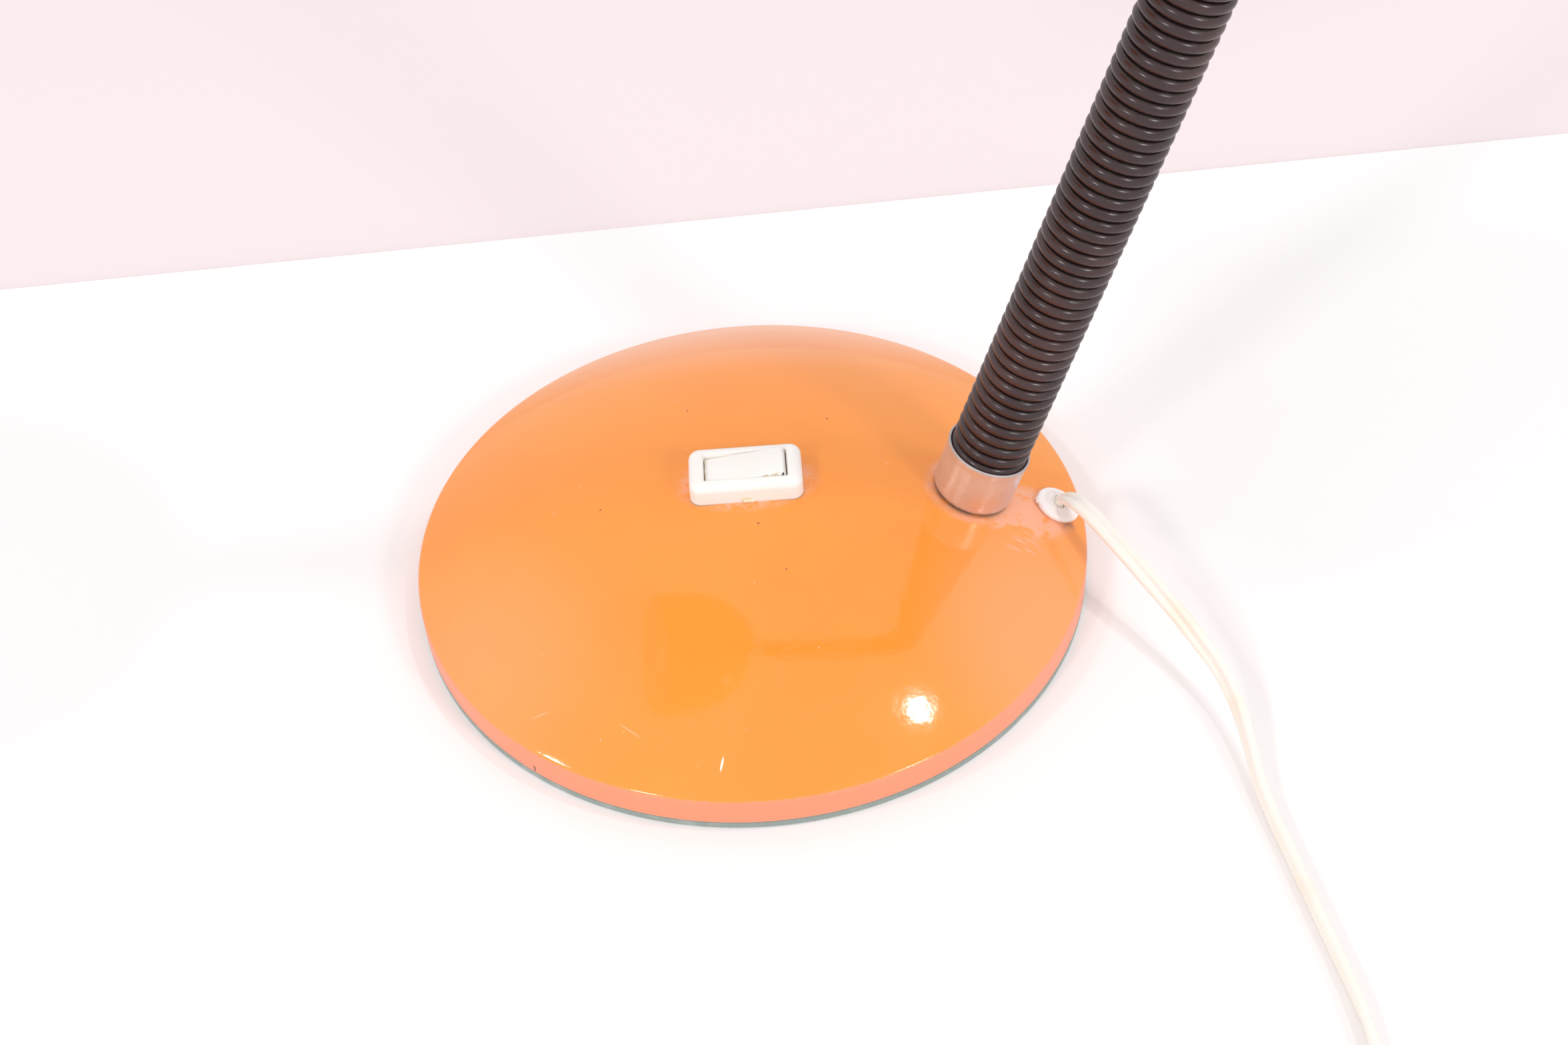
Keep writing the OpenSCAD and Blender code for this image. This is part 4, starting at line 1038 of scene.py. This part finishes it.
def make_holder():
    r, cap_z, holder_z, end_z = HOLDER_R, 4.3, 22.3, 54.3
    bore, side_z, wall_r = 5.08, cap_z + 7.8, 12.2
    outline = [(bore, cap_z), (7.0, cap_z), (7.4, cap_z + 0.4), (r - 0.5, cap_z + 7.6)]
    outline += ringed(r, cap_z + 8.2, holder_z - 0.4, 2, 0.5)
    outline += [(r - 0.3, holder_z), (wall_r, holder_z), (wall_r, side_z), (bore, side_z),
                (bore, cap_z)]
    piece = end(turned(outline, 96), "holder_cap", FINISH["black"], 30, HEAD_PLACE)
    add(piece, "link_11", "black_plastic", "lampholder_cap")

    low, top, bore, seat_r = holder_z + 0.05, end_z + 0.04, 7.9, 9.9
    outline = [(bore, low), (r - 0.4, low)] + ringed(r, low + 0.4, end_z - 0.6, 4, 0.6)
    outline += [(r - 0.7, top), (seat_r, top), (seat_r, low + 6), (bore, low + 6), (bore, low)]
    piece = end(turned(outline, 96), "holder_body", FINISH["black"], 30, HEAD_PLACE)
    add(piece, "link_11", "black_plastic", "lampholder_body")


make_holder()


# Radius of the globe, height of its middle, and where its neck starts to widen
BULB_R, BULB_Z, BULB_T, NECK_TOP, BULB_FOOT = 22.5, 80.3, 0.7, 52.0, 27.2


def globe(inset):
    """Outline of the glass from its neck to its crown, set in from the outside."""
    r, neck, knee, steps = BULB_R - inset, 6.35 - inset, 45.0, 12
    a = math.radians(knee)
    joint = Vector((r * math.sin(a), BULB_Z - r * math.cos(a)))
    start = Vector((neck, NECK_TOP))
    lift, back = start + Vector((0, 6)), joint - Vector((4.2, 4.2))
    outline = [(neck, BULB_FOOT + 6)]
    for i in range(steps + 1):
        t = i / steps
        p = (start * (1 - t) ** 3 + lift * 3 * t * (1 - t) ** 2 + back * 3 * t * t * (1 - t)
             + joint * t ** 3)
        outline.append((p.x, p.y))
    for i in range(1, 28):
        b = math.radians(knee + (180 - knee) * i / 28)
        outline.append((r * math.sin(b), BULB_Z - r * math.cos(b)))
    return outline + [(0, BULB_Z + r)]


def make_bulb():
    z, threads, pitch = BULB_FOOT, 6, 3.4
    outline = [(0, z), (2.2, z), (2.6, z + 0.4), (4.5, z + 2), (6.3, z + 2.2)]
    for i in range(threads):
        at = z + pitch * (i + 1)
        outline += [(6.45, at), (6.7, at + 0.6), (6.9, at + 1.3), (6.7, at + 2.0),
                    (6.45, at + 2.6)]
    outline += [(6.5, z + 24.5), (6.88, z + 25.2), (6.88, z + 25.9), (6.42, z + 25.9),
                (6.42, z + 4.2), (0, z + 4.2)]
    cap = end(turned(outline, 64), "bulb_thread", FINISH["nickel"], 35, HEAD_PLACE)
    add(cap, "link_11", "bulb_metal", "bulb_cap")
    outside = globe(0)
    glass = turned(outside + globe(BULB_T)[::-1] + outside[:1], 96)
    end(glass, "bulb_globe", FINISH["glass"], 50, HEAD_PLACE)
    add(glass, "link_11", "bulb_glass", "bulb_glass")


make_bulb()


# ---- Plug ----

def make_plug():
    x, y, z, long, wide, thick = 65.0, COIL[1] - 31.5, 7.1, 35.0, 26.0, 14.0
    waist, tail = x - 20, x - long
    plug = box_piece((long, wide, thick), (x - long / 2, y, z))
    bpy.ops.mesh.bisect(plane_co=(waist * MM, 0, 0), plane_no=(1, 0, 0))
    pick(plug, "FACE", lambda p, n: n.x > 0.9)
    bpy.ops.transform.resize(value=(1, 10.4 / wide, 0.62), center_override=Vector((x, y, z)) * MM)
    round_edges(plug, lambda p, d: abs(d.x) > 1 or abs(p.x - tail) < 0.01, 2.4, 5)
    round_edges(plug, lambda p, d: abs(p.x - waist) < 0.01 and abs(d.x) < 0.01, 2.5, 4)
    pick(plug, "FACE", lambda p, n: abs(n.z) > 0.999 and abs(p.y - y) < 1
         and tail + 3 < p.x < waist - 3)
    bpy.ops.mesh.inset(thickness=2.2 * MM)
    bpy.ops.mesh.extrude_region_shrink_fatten(TRANSFORM_OT_shrink_fatten={"value": -0.6 * MM})
    round_edges(plug, lambda p, d: abs(p.x - x) < 0.01, 1.0, 3)
    end(plug, "plug_housing", FINISH["plug"], 40)
    add(plug, "base", "plug_plastic", "plug_body")
    pieces = [plug]
    tip = [(1.9, 0), (1.9, 21.6), (1.98, 21.7), (1.98, 29.0)] + arc(0.18, 29.0, 1.8, 90, 0, 6)
    for side, name in ((-1, "plug_pin_left"), (1, "plug_pin_right")):
        pin = turned([(0, 0)] + tip + [(0, 30.8)], 40)
        where = Matrix.Translation(Vector((tail + 11.8, y + side * 9.3, z)) * MM)
        end(pin, name, [FINISH["black"], FINISH["nickel"]], 35,
            where @ Matrix.Rotation(-math.pi / 2, 4, "Y"))
        for face in pin.data.polygons:
            face.material_index = 1 if face.center.x < (tail - 9.9) * MM else 0
        add(pin, "base", "plug_plastic", "plug_pins")
        pieces.append(pin)
    return pieces


make_plug()


# ---- Finishes of the solids that stay ----

KEPT = {
    "base_plate": "zinc", "ballast_disc": "iron", "ballast_bosses": "zinc",
    "ballast_screws": "zinc", "foot_stud": "brass", "foot_washer": "zinc", "foot_nut": "zinc",
    "switch_plunger": "plug", "switch_spring": "zinc", "switch_contacts": "brass",
    "cord_clamp": "black", "clamp_screws": "zinc",
    "base_wires": "cord", "head_wires": "cord", "head_stud": "brass", "head_nut": "zinc",
    "lampholder_core": "porcelain", "lampholder_contacts": "brass", "bulb_filament": "nickel",
}
for node_name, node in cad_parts.items():
    finish_name = "hose" if node_name.startswith("neck_core") else KEPT.get(node_name)
    if finish_name:
        node.data.materials.clear()
        node.data.materials.append(FINISH[finish_name])


# ---- Floor, backdrop and light ----

def sheet_material(name, colour, glow):
    """Matt paper that looks evenly lit to the camera."""
    material = bpy.data.materials.new(name)
    material.use_nodes = True
    tree = material.node_tree
    ray = add_node(tree, "LightPath", {}).outputs["Is Camera Ray"]
    strength = add_node(tree, "Math", {0: ray, 1: glow}, operation="MULTIPLY").outputs["Value"]
    for name, source in {"Base Color": (*colour, 1), "Roughness": 1.0, "Specular IOR Level": 0.0,
                         "Emission Color": (*colour, 1), "Emission Strength": strength}.items():
        join(tree, source, tree.nodes["Principled BSDF"].inputs[name])
    return material


def flat_sheet(name, corners, material):
    piece = begin(bpy.ops.mesh.primitive_plane_add, size=1)
    bpy.ops.object.mode_set(mode="OBJECT")
    for vertex, corner in zip(piece.data.vertices, corners):
        vertex.co = corner
    piece.name = piece.data.name = name
    piece.data.materials.append(material)


FLOOR, WALL = 2.5, 4.0
REAR_X, REAR_Y, REAR_SLOPE = -0.2609, 0.1621, (0.1888 - 0.1621) / 0.5645


def rear_edge(x):
    """Where the table ends behind the lamp; the edge runs a little askew."""
    return REAR_Y + REAR_SLOPE * (x - REAR_X)


flat_sheet("floor", [(-FLOOR, -FLOOR, 0), (FLOOR, -FLOOR, 0), (-FLOOR, rear_edge(-FLOOR), 0),
                     (FLOOR, rear_edge(FLOOR), 0)],
           sheet_material("floor_white", (0.9, 0.88, 0.885), 0.09))
flat_sheet("backdrop", [(-WALL, -WALL, -0.004), (WALL, -WALL, -0.004), (-WALL, WALL, -0.004),
                        (WALL, WALL, -0.004)],
           sheet_material("backdrop_white", (0.87, 0.77, 0.79), 0.06))

LIGHT_DISTANCE = 2.2
# Each light's direction from the lamp, width in metres and power in watts
LIGHTS = {
    "right_light": ((0.44, -0.03, 0.898), 0.13, 4.5),
    "left_light": ((-0.64, -0.125, 0.758), 0.24, 4.5),
    "front_right_light": ((0.6, -0.64, 0.5), 0.4, 8.5),
    "front_left_light": ((-0.5, -0.65, 0.57), 0.28, 7.0),
}
for light_name, (direction, width, power) in LIGHTS.items():
    light = bpy.data.lights.new(light_name, "AREA")
    light.shape, light.size, light.energy = "DISK", width, power
    lamp = linked(light_name, light)
    way = Vector(direction).normalized()
    lamp.location = way * LIGHT_DISTANCE + Vector((0, 0, 0.03))
    lamp.rotation_euler = way.to_track_quat("Z", "Y").to_euler()


def set_world():
    """Even white surroundings, a little weaker where they only light the matt surfaces."""
    world = bpy.data.worlds.new("studio")
    bpy.context.scene.world = world
    world.use_nodes = True
    tree = world.node_tree
    ray = add_node(tree, "LightPath", {}).outputs
    seen = ray["Is Camera Ray"]
    for kind in ("Is Glossy Ray", "Is Transmission Ray"):
        either = add_node(tree, "Math", {0: seen, 1: ray[kind]}, operation="MAXIMUM")
        seen = either.outputs["Value"]
    level = add_node(tree, "MapRange", {"To Min": 0.8, "To Max": 1.0, "Value": seen})
    sky = tree.nodes["Background"].inputs
    join(tree, (1.0, 0.985, 0.985, 1), sky["Color"])
    join(tree, level.outputs["Result"], sky["Strength"])


set_world()
bpy.context.scene.view_settings.view_transform = "Standard"
